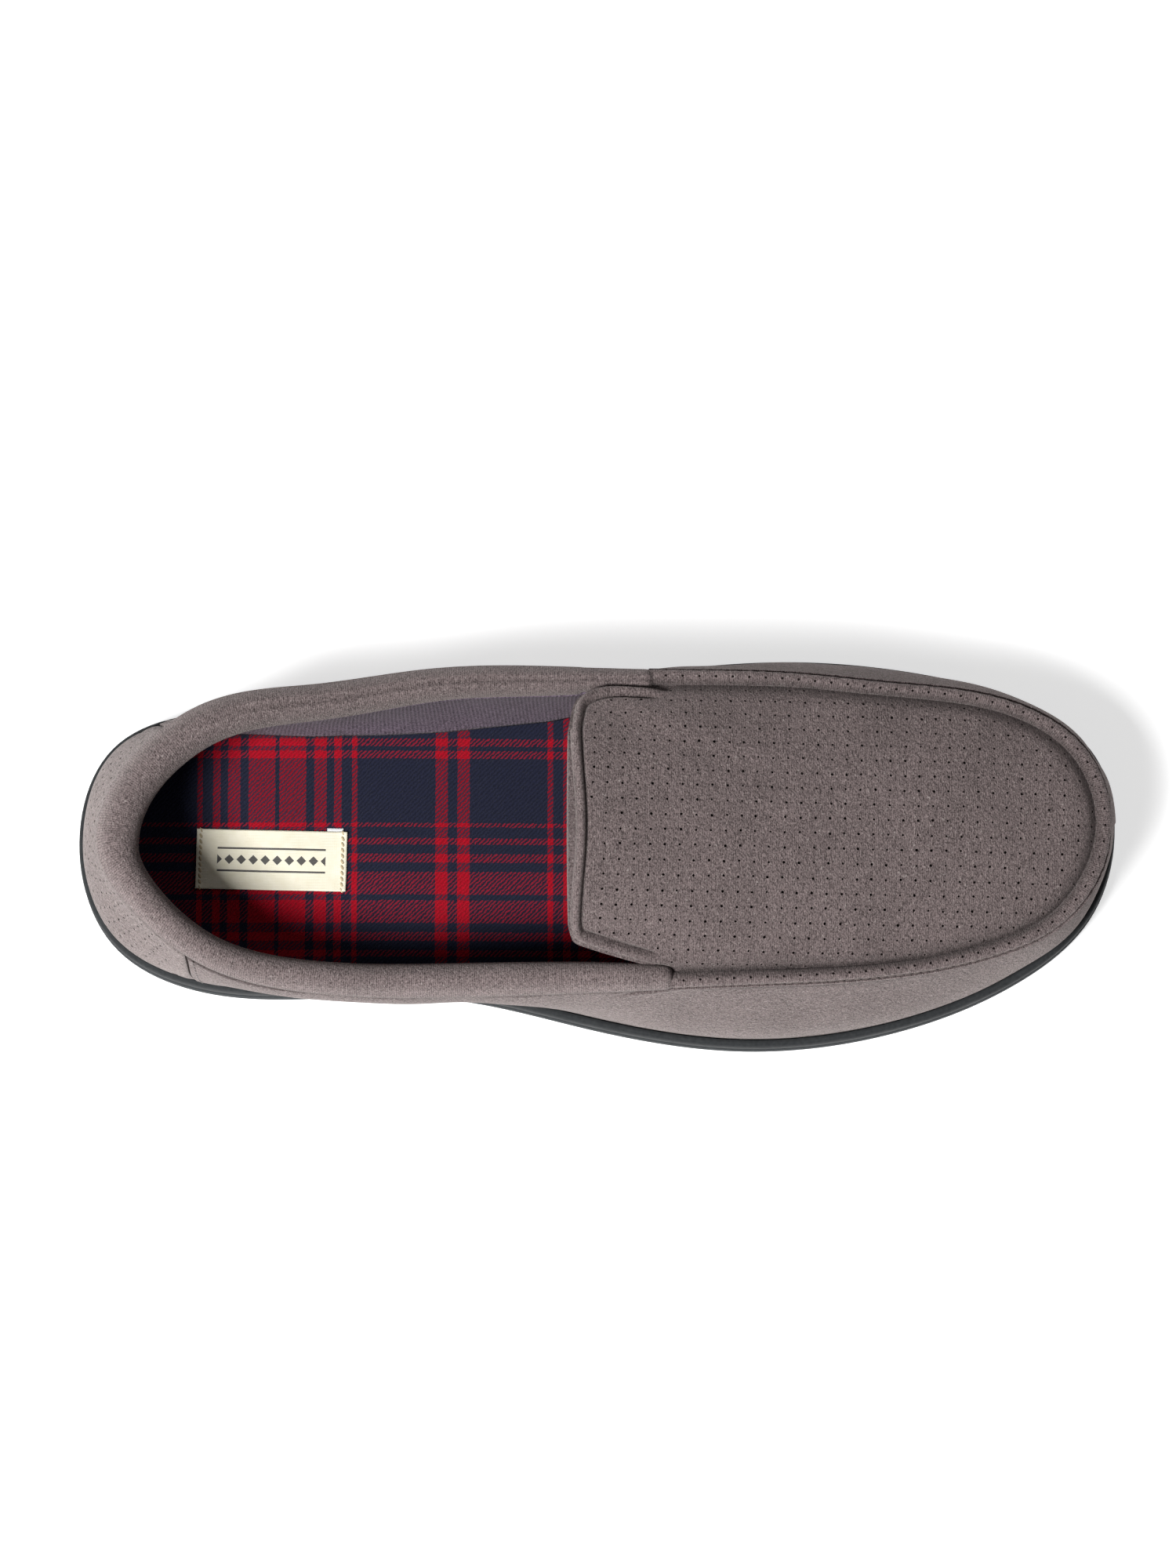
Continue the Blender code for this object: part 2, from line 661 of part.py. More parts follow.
def strip_across(x):
    """y of the inner points of a strip over the vamp, from one edge of the plug to the other."""
    (y0, _), (y1, _) = rim_at(x)
    border = min(SEAM_WIDTH, (y1 - y0) / ACROSS)
    edges = (y0 + border, y1 - border)
    if border == SEAM_WIDTH:
        edges = flap_edges(x, 0.0)
    return np.linspace(edges[0], edges[1], ACROSS - 1)


def build_upper(collection):
    """Vamp, quarters and tongue flap in one hollow shell, open at the collar and underneath."""
    places = [THROAT_MEDIAL * LENGTH] + fore_places()
    rear = rear_columns()
    lateral = [rim_u(x, "lateral") for x in places]
    medial = [rim_u(x, "medial") for x in places[:-1]]
    columns = rear + lateral + medial[::-1]
    points, faces = [], []
    for u in columns:
        lift = 0.0 if in_counter(u) else step_out(u)
        points += [tuple(p) for p in wall_section(u, lift)]
    rows = len(WALL_STEPS) + 2
    for i in range(len(columns)):
        after = (i + 1) % len(columns)
        for r in range(rows - 1):
            faces.append((i * rows + r, after * rows + r, after * rows + r + 1, i * rows + r + 1))
    strips = []
    for x, y0, y1 in flap_rows(0.0):
        strip = [None]
        for y in np.linspace(y0, y1, ACROSS - 1):
            points.append(tuple(vamp_point(x, y)))
            strip.append(len(points) - 1)
        strips.append(strip + [None])
    for i, x in enumerate(places[:-1]):
        left = (len(rear) + i) * rows + rows - 1
        right = (len(columns) - 1 - i) * rows + rows - 1
        strip = [left if i > 0 else None]
        for y in strip_across(x):
            points.append(tuple(vamp_point(x, y)))
            strip.append(len(points) - 1)
        strips.append(strip + [right])
    tip = (len(rear) + len(places) - 1) * rows + rows - 1
    strips.append([tip] * (ACROSS + 1))
    for before, after in zip(strips, strips[1:]):
        for j in range(ACROSS):
            corners = [before[j], after[j], after[j + 1], before[j + 1]]
            if None not in corners:
                faces.append(list(dict.fromkeys(corners)))
    piece = loose(points, faces, "upper")
    thicken(piece, WALL, -1)
    finish(piece, collection, (0.175, 0.145, 0.14), 0.9)


def build_counter(collection):
    """Perforated panel round the heel, flush with the quarters."""
    picked = [u for u in rear_columns() if in_counter(u)]
    points, faces = [], []
    rows = len(WALL_STEPS)
    for u in picked:
        points += [tuple(p) for p in wall_section(u, GAP)[2:]]
    for i in range(len(picked) - 1):
        for r in range(rows - 1):
            a, b = i * rows + r, (i + 1) * rows + r
            faces.append((a, b, b + 1, a + 1))
    piece = loose(points, faces, "heel_counter")
    thicken(piece, COUNTER_THICKNESS, 1)
    finish(piece, collection, (0.2, 0.165, 0.155), 0.9)


def build_apron(collection):
    """Perforated plug over the vamp, running on into the tongue flap."""
    inset = SEAM_WIDTH + APRON_SLOPE * (APRON_THICKNESS + APRON_GAP)
    shrink = inset - SEAM_WIDTH
    rows = flap_rows(shrink)
    start = THROAT_LATERAL * LENGTH
    tip = float(max(plug_line("lateral", inset)[:, 0].max(), plug_line("medial", inset)[:, 0].max()))
    angles = np.linspace(0.0, math.pi / 2.0, FORE_STEPS + 1)
    for x in start + (tip - start) * np.sin(angles):
        rows.append((x, *plug_edges(x, inset)))
    points, faces = [], []
    cuts = ACROSS - 2
    for x, y0, y1 in rows:
        for y in np.linspace(y0, y1, cuts + 1):
            points.append(tuple(vamp_point(x, y, APRON_GAP)))
    for i in range(len(rows) - 1):
        for j in range(cuts):
            a, b = i * (cuts + 1) + j, (i + 1) * (cuts + 1) + j
            faces.append((a, b, b + 1, a + 1))
    piece = loose(points, faces, "apron")
    thicken(piece, APRON_THICKNESS, 1)
    finish(piece, collection, (0.165, 0.135, 0.13), 0.92)


def sweep(name, sections):
    """Closed tube through sections of equal count, with flat ends."""
    count = len(sections[0])
    points = [tuple(p) for section in sections for p in section]
    faces = []
    for i in range(len(sections) - 1):
        for j in range(count):
            k = (j + 1) % count
            faces.append((i * count + j, (i + 1) * count + j, (i + 1) * count + k, i * count + k))
    faces.append(tuple(range(count)))
    last = (len(sections) - 1) * count
    faces.append(tuple(range(last + count - 1, last - 1, -1)))
    return loose(points, faces, name)


def build_seam(collection):
    """Raised moccasin seam along the edge of the plug, from throat to throat."""
    clear = THROAT_GAP / CHORDS.sum()
    start = rim_u(THROAT_LATERAL * LENGTH, "lateral") + clear
    end = rim_u(THROAT_MEDIAL * LENGTH, "medial") - clear
    if end < start:
        end += 1.0
    sections = []
    for u in np.linspace(start, end, 3 * FORE_STEPS):
        rim = shape(u)[2:4]
        normal = outward(u, 2)
        section = []
        for ridge in RIDGES:
            plan = rim - normal * ridge.reach * SEAM_WIDTH
            section.append(vamp_point(plan[0], plan[1], GAP + ridge.rise * SEAM_HEIGHT))
        sections.append(section)
    piece = sweep("moccasin_seam", sections)
    finish(piece, collection, (0.19, 0.155, 0.15), 0.9)


def collar_room(x, y):
    """Width free for the collar between a rim point and the edge of the plug or flap beside it."""
    if x <= THROAT_LATERAL * LENGTH - FLAP_LENGTH:
        return COLLAR_WIDTH
    edge = flap_edges(x, 0.0)[0 if y < 0.0 else 1]
    return abs(y - edge) - COLLAR_GAP


def build_collar(collection):
    """Padded roll round the opening, from throat to throat behind the heel."""
    clear = THROAT_GAP / CHORDS.sum()
    end = rim_u(THROAT_LATERAL * LENGTH, "lateral") - clear
    start = rim_u(THROAT_MEDIAL * LENGTH, "medial") + clear
    if start > end:
        start -= 1.0
    sections = []
    for u in np.linspace(start, end, 2 * REAR_STEPS + 3):
        row = shape(u)
        normal = outward(u, 2)
        width = min(row[7], collar_room(row[2], row[3]))
        section = []
        for roll in ROLLS:
            plan = row[2:4] - normal * roll.reach * width
            section.append((plan[0], plan[1], row[4] + GAP + roll.rise * row[8]))
        sections.append(section)
    finish(sweep("collar", sections), collection, (0.18, 0.15, 0.145), 0.9)


def build_slipper():
    """Clear the file and build every piece of the slipper."""
    for old in list(bpy.data.objects):
        bpy.data.objects.remove(old, do_unlink=True)
    slipper = bpy.data.collections.new("moccasin_slipper")
    cutters = bpy.data.collections.new("cutters")
    bpy.context.scene.collection.children.link(slipper)
    bpy.context.scene.collection.children.link(cutters)
    build_outsole(slipper, cutters)
    build_insole(slipper)
    build_upper(slipper)
    build_apron(slipper)
    build_seam(slipper)
    build_collar(slipper)
    build_counter(slipper)
    build_label(slipper)


build_slipper()
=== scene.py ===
# %% [markdown]
# # Dressing a moccasin slipper
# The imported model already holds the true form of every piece: a rubber sole, a foam footbed, a hollow
# upper, a plug with its tongue flap, a raised seam, a padded collar, a heel counter and a woven label.
# This lesson makes the finished surfaces round that frame: brushed microsuede with punched holes, a
# plaid flannel footbed, a ribbed lining, stitches and moulded rubber.

# %% Load the frame
import math
from collections import namedtuple

import bmesh
import bpy
import numpy as np
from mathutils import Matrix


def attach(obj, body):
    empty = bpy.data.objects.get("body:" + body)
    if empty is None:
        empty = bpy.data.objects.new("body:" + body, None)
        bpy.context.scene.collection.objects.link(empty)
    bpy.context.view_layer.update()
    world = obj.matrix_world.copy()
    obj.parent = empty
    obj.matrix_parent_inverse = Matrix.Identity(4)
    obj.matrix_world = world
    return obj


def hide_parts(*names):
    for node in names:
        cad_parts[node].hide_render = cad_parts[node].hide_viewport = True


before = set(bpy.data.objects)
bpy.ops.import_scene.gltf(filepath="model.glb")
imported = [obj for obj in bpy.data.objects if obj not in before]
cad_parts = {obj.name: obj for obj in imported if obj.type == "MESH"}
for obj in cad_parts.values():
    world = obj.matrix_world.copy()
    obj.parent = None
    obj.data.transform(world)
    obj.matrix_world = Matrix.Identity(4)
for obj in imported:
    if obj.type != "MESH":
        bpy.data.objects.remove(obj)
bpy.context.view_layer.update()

# %% [markdown]
# ## The last in numbers
# A shoe is drawn round a last, so every surface here comes from one closed curve of stations round the
# foot. The sizes are the model's own, in metres, and each row of the table holds shares of them. The
# same curve can then be read as finely as a smooth render needs.

# %% Sizes and stations
LENGTH = 0.295
BALL_WIDTH = 0.1115
HEEL_WIDTH = 0.081
HEEL_RIM = 0.054
INSTEP_RIM = 0.057
TOE_RIM = 0.039
INSTEP_PEAK = 0.078
TOE_PEAK = 0.050
HEEL_STACK = 0.0165
BALL_STACK = 0.0125
LIP_WIDTH = 0.0027
LIP_HEIGHT = 0.003
ARCH_LIFT = 0.0025
TOE_SPRING = 0.005
HEEL_BEVEL = 0.0012
GAP = 0.00035
INSOLE_GAP = 0.0006
WALL = 0.0022
BULGE = 0.006
INSOLE_THICKNESS = 0.0062
INSOLE_DISH = 0.0012
INSOLE_DISH_RUN = 0.035
APRON_GAP = 0.00045
APRON_THICKNESS = 0.0015
COUNTER_THICKNESS = 0.0009
COUNTER_BLEND = 0.040
SEAM_WIDTH = 0.0045
SEAM_HEIGHT = 0.0024
FLAP_LENGTH = 0.0265
COLLAR_WIDTH = 0.0105
COLLAR_HEIGHT = 0.0115
COLLAR_GAP = 0.00115
THROAT_GAP = 0.0007

THROAT_LATERAL = 0.063 * LENGTH
THROAT_MEDIAL = 0.046 * LENGTH
COUNTER_LATERAL = -0.383 * LENGTH
COUNTER_MEDIAL = -0.402 * LENGTH
HEEL_FLAT = -0.455
ARCH_BACK = -0.235
ARCH_FRONT = 0.02
STACK_FRONT = 0.08
SPRING_START = 0.335
LIP_SPRING = 0.6
LOW_REACH = 0.40
HIGH_REACH = 0.38
CROWN_FULLNESS = 2.5

# Sole and rim in plan, rim height, lower and upper fullness of the wall, collar width and height
Station = namedtuple("Station", "width sole_x sole_y rim_x rim_y height rim_z belly bulge collar roll")
STATIONS = [
    Station(HEEL_WIDTH, -0.499, 0.025, -0.461, -0.015, HEEL_RIM, 1.00, -0.3, 0.20, 1.00, 1.00),
    Station(HEEL_WIDTH, -0.464, -0.325, -0.434, -0.222, HEEL_RIM, 0.98, -0.3, 0.20, 0.82, 1.00),
    Station(HEEL_WIDTH, -0.380, -0.480, -0.366, -0.424, HEEL_RIM, 0.93, 0.0, 0.45, 0.74, 1.00),
    Station(HEEL_WIDTH, -0.264, -0.502, -0.254, -0.519, HEEL_RIM, 0.86, 0.6, 0.75, 0.76, 0.98),
    Station(HEEL_WIDTH, -0.142, -0.508, -0.142, -0.530, HEEL_RIM, 0.86, 0.8, 0.80, 0.80, 0.95),
    Station(BALL_WIDTH, -0.017, -0.438, 0.012, -0.377, INSTEP_RIM, 0.93, 0.3, 0.75, 0.70, 0.80),
    Station(BALL_WIDTH, 0.142, -0.500, 0.136, -0.368, INSTEP_RIM, 0.98, 0.2, 1.00, 0.36, 0.50),
    Station(BALL_WIDTH, 0.288, -0.452, 0.271, -0.345, INSTEP_RIM, 0.87, 0.2, 0.90, 0.36, 0.50),
    Station(BALL_WIDTH, 0.407, -0.323, 0.383, -0.278, TOE_RIM, 1.12, 0.3, 0.60, 0.36, 0.50),
    Station(BALL_WIDTH, 0.473, -0.172, 0.446, -0.176, TOE_RIM, 1.03, 0.3, 0.50, 0.36, 0.50),
    Station(BALL_WIDTH, 0.499, 0.035, 0.481, 0.025, TOE_RIM, 1.00, 0.3, 0.50, 0.36, 0.50),
    Station(BALL_WIDTH, 0.479, 0.262, 0.454, 0.245, TOE_RIM, 1.03, 0.4, 0.50, 0.36, 0.50),
    Station(BALL_WIDTH, 0.412, 0.395, 0.385, 0.353, TOE_RIM, 1.12, 0.4, 0.60, 0.36, 0.50),
    Station(BALL_WIDTH, 0.305, 0.474, 0.278, 0.389, INSTEP_RIM, 0.88, 0.3, 0.85, 0.36, 0.50),
    Station(BALL_WIDTH, 0.190, 0.501, 0.180, 0.406, INSTEP_RIM, 0.96, 0.2, 0.85, 0.36, 0.50),
    Station(BALL_WIDTH, 0.017, 0.462, 0.027, 0.407, INSTEP_RIM, 1.00, 0.2, 0.70, 0.55, 0.65),
    Station(HEEL_WIDTH, -0.142, 0.545, -0.142, 0.576, HEEL_RIM, 0.88, 0.6, 0.50, 0.98, 0.95),
    Station(HEEL_WIDTH, -0.271, 0.496, -0.264, 0.518, HEEL_RIM, 0.87, 0.4, 0.50, 1.00, 0.98),
    Station(HEEL_WIDTH, -0.380, 0.500, -0.366, 0.444, HEEL_RIM, 0.94, 0.0, 0.45, 1.00, 1.00),
    Station(HEEL_WIDTH, -0.464, 0.385, -0.434, 0.245, HEEL_RIM, 0.98, -0.3, 0.20, 1.00, 1.00),
]

# The instep line from the flap's back to the tip of the toe: place, height
CROWNS = [
    (-0.027 * LENGTH, INSTEP_PEAK),
    (0.063 * LENGTH, 0.930 * INSTEP_PEAK),
    (0.153 * LENGTH, 0.855 * INSTEP_PEAK),
    (0.254 * LENGTH, 0.755 * INSTEP_PEAK),
    (0.355 * LENGTH, 1.060 * TOE_PEAK),
    (0.430 * LENGTH, 0.945 * TOE_PEAK),
    (0.465 * LENGTH, 0.870 * TOE_PEAK),
    (0.481 * LENGTH, TOE_RIM),
]

# The tongue flap: run behind the throat as a share of its length, insets as shares of the ball width
FLAPS = [
    (0.00, 0.000, 0.000),
    (0.38, 0.022, 0.000),
    (0.66, 0.040, 0.004),
    (0.87, 0.055, 0.024),
    (0.96, 0.068, 0.060),
    (1.00, 0.096, 0.114),
]

# %% [markdown]
# ## Curves through the stations
# A closed cubic spline passes through the stations and an open one through the instep line. Reading a
# spline gives a smooth outline at any fineness, which a list of mesh points could not. The functions
# below work on whole arrays at once, so that fine surfaces stay quick to make.


# %% Splines
def closed_spline(knots, values):
    """Smooth closed curve through the rows of values at the knots, with a period of 1."""
    count = len(knots)
    steps = np.diff(np.append(knots, 1.0 + knots[0]))
    slopes = (np.roll(values, -1, axis=0) - values) / steps[:, None]
    system = np.zeros((count, count))
    for i in range(count):
        before = (i - 1) % count
        system[i, before] += steps[before]
        system[i, i] += 2.0 * (steps[before] + steps[i])
        system[i, (i + 1) % count] += steps[i]
    bends = np.linalg.solve(system, 6.0 * (slopes - np.roll(slopes, 1, axis=0)))

    def at(u):
        u = np.mod(np.asarray(u, float) - knots[0], 1.0) + knots[0]
        i = np.searchsorted(knots, u, side="right") - 1
        after = (i + 1) % count
        h = steps[i][..., None]
        b = (u - knots[i])[..., None] / h
        a = 1.0 - b
        curve = ((a**3 - a) * bends[i] + (b**3 - b) * bends[after]) * h * h / 6.0
        return a * values[i] + b * values[after] + curve

    return at


def open_spline(places, values):
    """Smooth curve through rows of values at rising places, straight at both ends."""
    places = np.asarray(places, float)
    values = np.asarray(values, float).reshape(len(places), -1)
    count = len(places)
    steps = np.diff(places)[:, None]
    slopes = np.diff(values, axis=0) / steps
    system = np.eye(count)
    right = np.zeros_like(values)
    for i in range(1, count - 1):
        system[i, i - 1] = steps[i - 1, 0]
        system[i, i] = 2.0 * (steps[i - 1, 0] + steps[i, 0])
        system[i, i + 1] = steps[i, 0]
        right[i] = 6.0 * (slopes[i] - slopes[i - 1])
    bends = np.linalg.solve(system, right)

    def at(x):
        x = np.clip(np.asarray(x, float), places[0], places[-1])
        i = np.clip(np.searchsorted(places, x, side="right") - 1, 0, count - 2)
        h = steps[i]
        b = (x - places[i])[..., None] / h
        a = 1.0 - b
        curve = ((a**3 - a) * bends[i] + (b**3 - b) * bends[i + 1]) * h * h / 6.0
        return a * values[i] + b * values[i + 1] + curve

    return at


def smooth(value):
    """Ease from 0 to 1."""
    value = np.clip(value, 0.0, 1.0)
    return value * value * (3.0 - 2.0 * value)


def hump(value, width):
    """A soft bump of height 1 round zero."""
    return np.exp(-((value / width) ** 2))


# %% The closed curve round the shoe
TABLE = np.array(
    [
        (s.sole_x * LENGTH, s.sole_y * s.width, s.rim_x * LENGTH, s.rim_y * s.width, s.rim_z * s.height)
        + (s.belly * BULGE, s.bulge * BULGE, s.collar * COLLAR_WIDTH, s.roll * COLLAR_HEIGHT)
        for s in STATIONS
    ]
)
CHORDS = np.linalg.norm(np.roll(TABLE[:, :2], -1, axis=0) - TABLE[:, :2], axis=1)
PERIMETER = CHORDS.sum()
KNOTS = np.concatenate(([0.0], np.cumsum(CHORDS)[:-1])) / PERIMETER
RAW_SHAPE = closed_spline(KNOTS, TABLE)
DENSE = 1440
ALL_U = np.arange(DENSE) / DENSE
RAW = RAW_SHAPE(ALL_U)[:, :2]
CENTRE = (RAW.max(axis=0) + RAW.min(axis=0)) / 2.0
FIT = np.array([LENGTH, BALL_WIDTH]) / (RAW.max(axis=0) - RAW.min(axis=0))


def shape(u):
    """Sole x, y, rim x, y, z, belly, bulge, collar width and collar height at u."""
    row = RAW_SHAPE(u)
    row[..., 0:2] = (row[..., 0:2] - CENTRE) * FIT
    row[..., 2:4] = (row[..., 2:4] - CENTRE) * FIT
    return row


def outward(u, column):
    """Unit normal in plan, away from the foot, of the sole (column 0) or of the rim (column 2)."""
    step = 0.25 / DENSE
    run = shape(u + step)[..., column : column + 2] - shape(u - step)[..., column : column + 2]
    normal = np.stack((run[..., 1], -run[..., 0]), axis=-1)
    return normal / np.linalg.norm(normal, axis=-1, keepdims=True)


SHAPE = shape(ALL_U)
RIM_TIP = int(np.argmax(SHAPE[:, 2]))
RIM_HEEL = int(np.argmin(SHAPE[:, 2]))
LATERAL_HALF = np.arange(RIM_HEEL, RIM_TIP + DENSE * (RIM_HEEL > RIM_TIP) + 1) % DENSE
MEDIAL_HALF = np.arange(RIM_HEEL + DENSE * (RIM_HEEL < RIM_TIP), RIM_TIP - 1, -1) % DENSE
HALVES = {"lateral": LATERAL_HALF, "medial": MEDIAL_HALF}


def rim_u(x, side):
    """Where along the curve the rim of one side passes x."""
    picked = HALVES[side]
    unrolled = np.unwrap(ALL_U[picked], period=1.0)
    return np.interp(x, SHAPE[picked, 2], unrolled) % 1.0


def plug_line(side, inset):
    """x and y along the plug's edge on one side, at an inset from the rim, from heel to toe."""
    picked = HALVES[side]
    return SHAPE[picked, 2:4] - inset * outward(ALL_U[picked], 2)


def plug_edges(x, inset):
    """The plug's lateral and medial edge at x, for an inset from the rim."""
    edges = []
    for side in ("lateral", "medial"):
        line = plug_line(side, inset)
        edges.append(np.interp(x, np.maximum.accumulate(line[:, 0]), line[:, 1]))
    return edges


def spring(x):
    """Lift of the sole towards the tip of the toe."""
    start = SPRING_START * LENGTH
    return TOE_SPRING * np.clip((x - start) / (LENGTH / 2.0 - start), 0.0, 1.0) ** 2


def sole_bottom(x):
    """Height of the underside: flat at the heel and the ball, lifted at the arch, toe and heel end."""
    heel = HEEL_FLAT * LENGTH
    bevel = HEEL_BEVEL * np.clip((heel - x) / (heel + LENGTH / 2.0), 0.0, 1.0) ** 2
    along = np.clip((x / LENGTH - ARCH_BACK) / (ARCH_FRONT - ARCH_BACK), 0.0, 1.0)
    arch = ARCH_LIFT * np.sin(math.pi * along) ** 2
    return np.where((along > 0.0) & (along < 1.0), arch, 0.0) + spring(x) + bevel


def lip_top(x):
    """Height of the sole's lip."""
    along = smooth((x / LENGTH - ARCH_BACK) / (STACK_FRONT - ARCH_BACK))
    return HEEL_STACK + (BALL_STACK - HEEL_STACK) * along + LIP_SPRING * spring(x)


CROWN_LINE = open_spline([c[0] for c in CROWNS], [c[1] for c in CROWNS])
SLOPE_STEP = 0.0008


def vamp_height(x, y):
    """Height of the upper over the foot, crowned between the two rims."""
    y0, z0, y1, z1 = (
        np.interp(x, SHAPE[HALVES[side], 2], SHAPE[HALVES[side], column])
        for side in ("lateral", "medial")
        for column in (3, 4)
    )
    t = np.clip((y - y0) / np.maximum(y1 - y0, 1e-6), 0.0, 1.0)
    middle = np.maximum(CROWN_LINE(x)[..., 0] - (z0 + z1) / 2.0, 0.0)
    return z0 + (z1 - z0) * t + middle * (1.0 - np.abs(2.0 * t - 1.0) ** CROWN_FULLNESS)


def vamp_points(x, y, lift):
    """Points over the vamp at x and y, moved along the surface's normal by lift."""
    slope_x = (vamp_height(x + SLOPE_STEP, y) - vamp_height(x - SLOPE_STEP, y)) / (2.0 * SLOPE_STEP)
    slope_y = (vamp_height(x, y + SLOPE_STEP) - vamp_height(x, y - SLOPE_STEP)) / (2.0 * SLOPE_STEP)
    normal = np.stack((-slope_x, -slope_y, np.ones_like(slope_x)), axis=-1)
    normal /= np.linalg.norm(normal, axis=-1, keepdims=True)
    return np.stack((x, y, vamp_height(x, y)), axis=-1) + np.asarray(lift)[..., None] * normal


print("perimeter of the sole: %.0f mm" % (1000 * PERIMETER))

# %% [markdown]
# ## Meshes from grids of points
# A panel of a shoe is a grid: rows along it, columns across it. One helper turns such a grid into a
# mesh with a UV map in metres, so that ribs and punched holes can follow the cloth. Another applies a
# piece's modifiers by reading the evaluated object, which leaves a plain mesh with nothing live on it.


# %% Mesh helpers
MERGE = 0.00001


def grid_faces(rows, columns, around=False):
    """Quads of a grid whose points run row by row, closed round each row if asked."""
    i = np.arange(rows - 1)[:, None]
    j = np.arange(columns if around else columns - 1)[None, :]
    after = (j + 1) % columns
    a, b = i * columns + j, (i + 1) * columns + j
    c, d = (i + 1) * columns + after, i * columns + after
    return np.stack((a, b, c, d), axis=-1).reshape(-1, 4)


def new_object(name, data):
    """An object with this data, linked to the scene."""
    made = bpy.data.objects.new(name, data)
    bpy.context.scene.collection.objects.link(made)
    return made


def new_piece(name, points, faces, materials, uv=None, marks=None):
    """A smooth mesh object from points and faces, its doubled points merged, with named marks on them."""
    mesh = bpy.data.meshes.new(name)
    places = np.asarray(points, float).reshape(-1, 3).tolist()
    mesh.from_pydata(places, [], [[int(i) for i in face] for face in faces])
    if uv is not None:
        layer = mesh.uv_layers.new(name="UVMap")
        corner = np.zeros(len(mesh.loops), int)
        mesh.loops.foreach_get("vertex_index", corner)
        layer.data.foreach_set("uv", np.asarray(uv, float).reshape(-1, 2)[corner].ravel())
    for label, values in (marks or {}).items():
        layer = mesh.attributes.new(label, "FLOAT", "POINT")
        layer.data.foreach_set("value", np.ravel(values))
    bm = bmesh.new()
    bm.from_mesh(mesh)
    bmesh.ops.remove_doubles(bm, verts=bm.verts, dist=MERGE)
    bmesh.ops.dissolve_degenerate(bm, edges=bm.edges, dist=MERGE / 10.0)
    bm.to_mesh(mesh)
    bm.free()
    mesh.shade_smooth()
    for used in materials:
        mesh.materials.append(used)
    return new_object(name, mesh)


def apply_modifiers(piece):
    """Replace a piece's mesh with its evaluated one and clear its modifiers."""
    graph = bpy.context.evaluated_depsgraph_get()
    made = bpy.data.meshes.new_from_object(piece.evaluated_get(graph))
    piece.modifiers.clear()
    piece.data = made
    return piece


def shade_round(piece, degrees):
    """Shade a piece smooth and keep the edges crisp that turn by more than an angle."""
    piece.data.shade_smooth()
    piece.data.set_sharp_from_angle(angle=math.radians(degrees))
    return piece


def cut_out(piece, cutter, solver):
    """Cut a closed object out of a piece and remove that object."""
    cut = piece.modifiers.new("Cut", "BOOLEAN")
    cut.object = cutter
    cut.solver = solver
    apply_modifiers(piece)
    bpy.data.objects.remove(cutter)
    return piece


def face_outwards(piece):
    """Recalculate the normals of a closed piece."""
    bm = bmesh.new()
    bm.from_mesh(piece.data)
    bmesh.ops.recalc_face_normals(bm, faces=bm.faces)
    bm.to_mesh(piece.data)
    bm.free()


def thicken(piece, thickness, side, inner_slot=0):
    """Give an open surface its thickness, outwards (side 1) or inwards (side -1)."""
    shell = piece.modifiers.new("Thickness", "SOLIDIFY")
    shell.thickness = thickness
    shell.offset = side
    shell.use_even_offset = True
    shell.material_offset = inner_slot
    return apply_modifiers(piece)


def coordinates(mesh, what="co"):
    """Points or vertex normals of a mesh as rows of three."""
    rows = np.zeros(len(mesh.vertices) * 3)
    mesh.vertices.foreach_get(what, rows)
    return rows.reshape(-1, 3)


def thicken_and_fold(piece, thickness, inner_slot):
    """Thicken an open surface inwards, then move its outer face alone by its fold mark."""
    start, normals = coordinates(piece.data), coordinates(piece.data, "normal")
    fold = np.zeros(len(start))
    piece.data.attributes["fold"].data.foreach_get("value", fold)
    thicken(piece, thickness, -1, inner_slot)
    points = coordinates(piece.data)
    for first in (0, len(start)):
        if np.abs(points[first : first + len(start)] - start).max() < MERGE:
            points[first : first + len(start)] += normals * fold[:, None]
    piece.data.vertices.foreach_set("co", points.ravel())
    piece.data.update()
    print("%s: outer face moved by up to %.2f mm" % (piece.name, 1000.0 * np.abs(fold).max()))
    return piece


def count_faces(piece):
    """Triangles of a mesh object."""
    return sum(len(p.vertices) - 2 for p in piece.data.polygons)


def dress(piece, slot, *nodes):
    """Let a finished piece ride on the body and stand for its CAD nodes; the slot is not used."""
    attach(piece, "root")
    if nodes:
        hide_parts(*nodes)
    print("%s: %d triangles" % (piece.name, count_faces(piece)))
    return piece


# %% [markdown]
# ## Node helpers
# Materials and Geometry Nodes trees are both made of nodes and links. One helper adds a node, sets its
# settings and fills its inputs with values or with other nodes' outputs. It keeps the recipes below
# short enough to read.


# %% Node helpers
def add(tree, kind, sockets=None, **settings):
    """Add a node, set its settings and fill its inputs with values or links."""
    made = tree.nodes.new(kind)
    for key, value in settings.items():
        setattr(made, key, value)
    for key, value in (sockets or {}).items():
        if isinstance(value, bpy.types.NodeSocket):
            tree.links.new(value, made.inputs[key])
        else:
            made.inputs[key].default_value = value
    return made


def maths(tree, operation, a, b=0.0, c=0.0, clamp=False):
    """The result of a Math node."""
    node = add(tree, "ShaderNodeMath", {0: a, 1: b, 2: c}, operation=operation, use_clamp=clamp)
    return node.outputs[0]


def noise(tree, vector, scale, detail=2.0, roughness=0.5):
    """The value of a Noise texture."""
    sockets = {"Vector": vector, "Scale": scale, "Detail": detail, "Roughness": roughness}
    return add(tree, "ShaderNodeTexNoise", sockets).outputs["Fac"]


def coordinate(tree, kind="Object"):
    """Texture coordinates: the object's own, or its UV map."""
    return add(tree, "ShaderNodeTexCoord").outputs[kind]


def axes_of(tree, vector):
    """The three parts of a vector."""
    return add(tree, "ShaderNodeSeparateXYZ", {"Vector": vector}).outputs


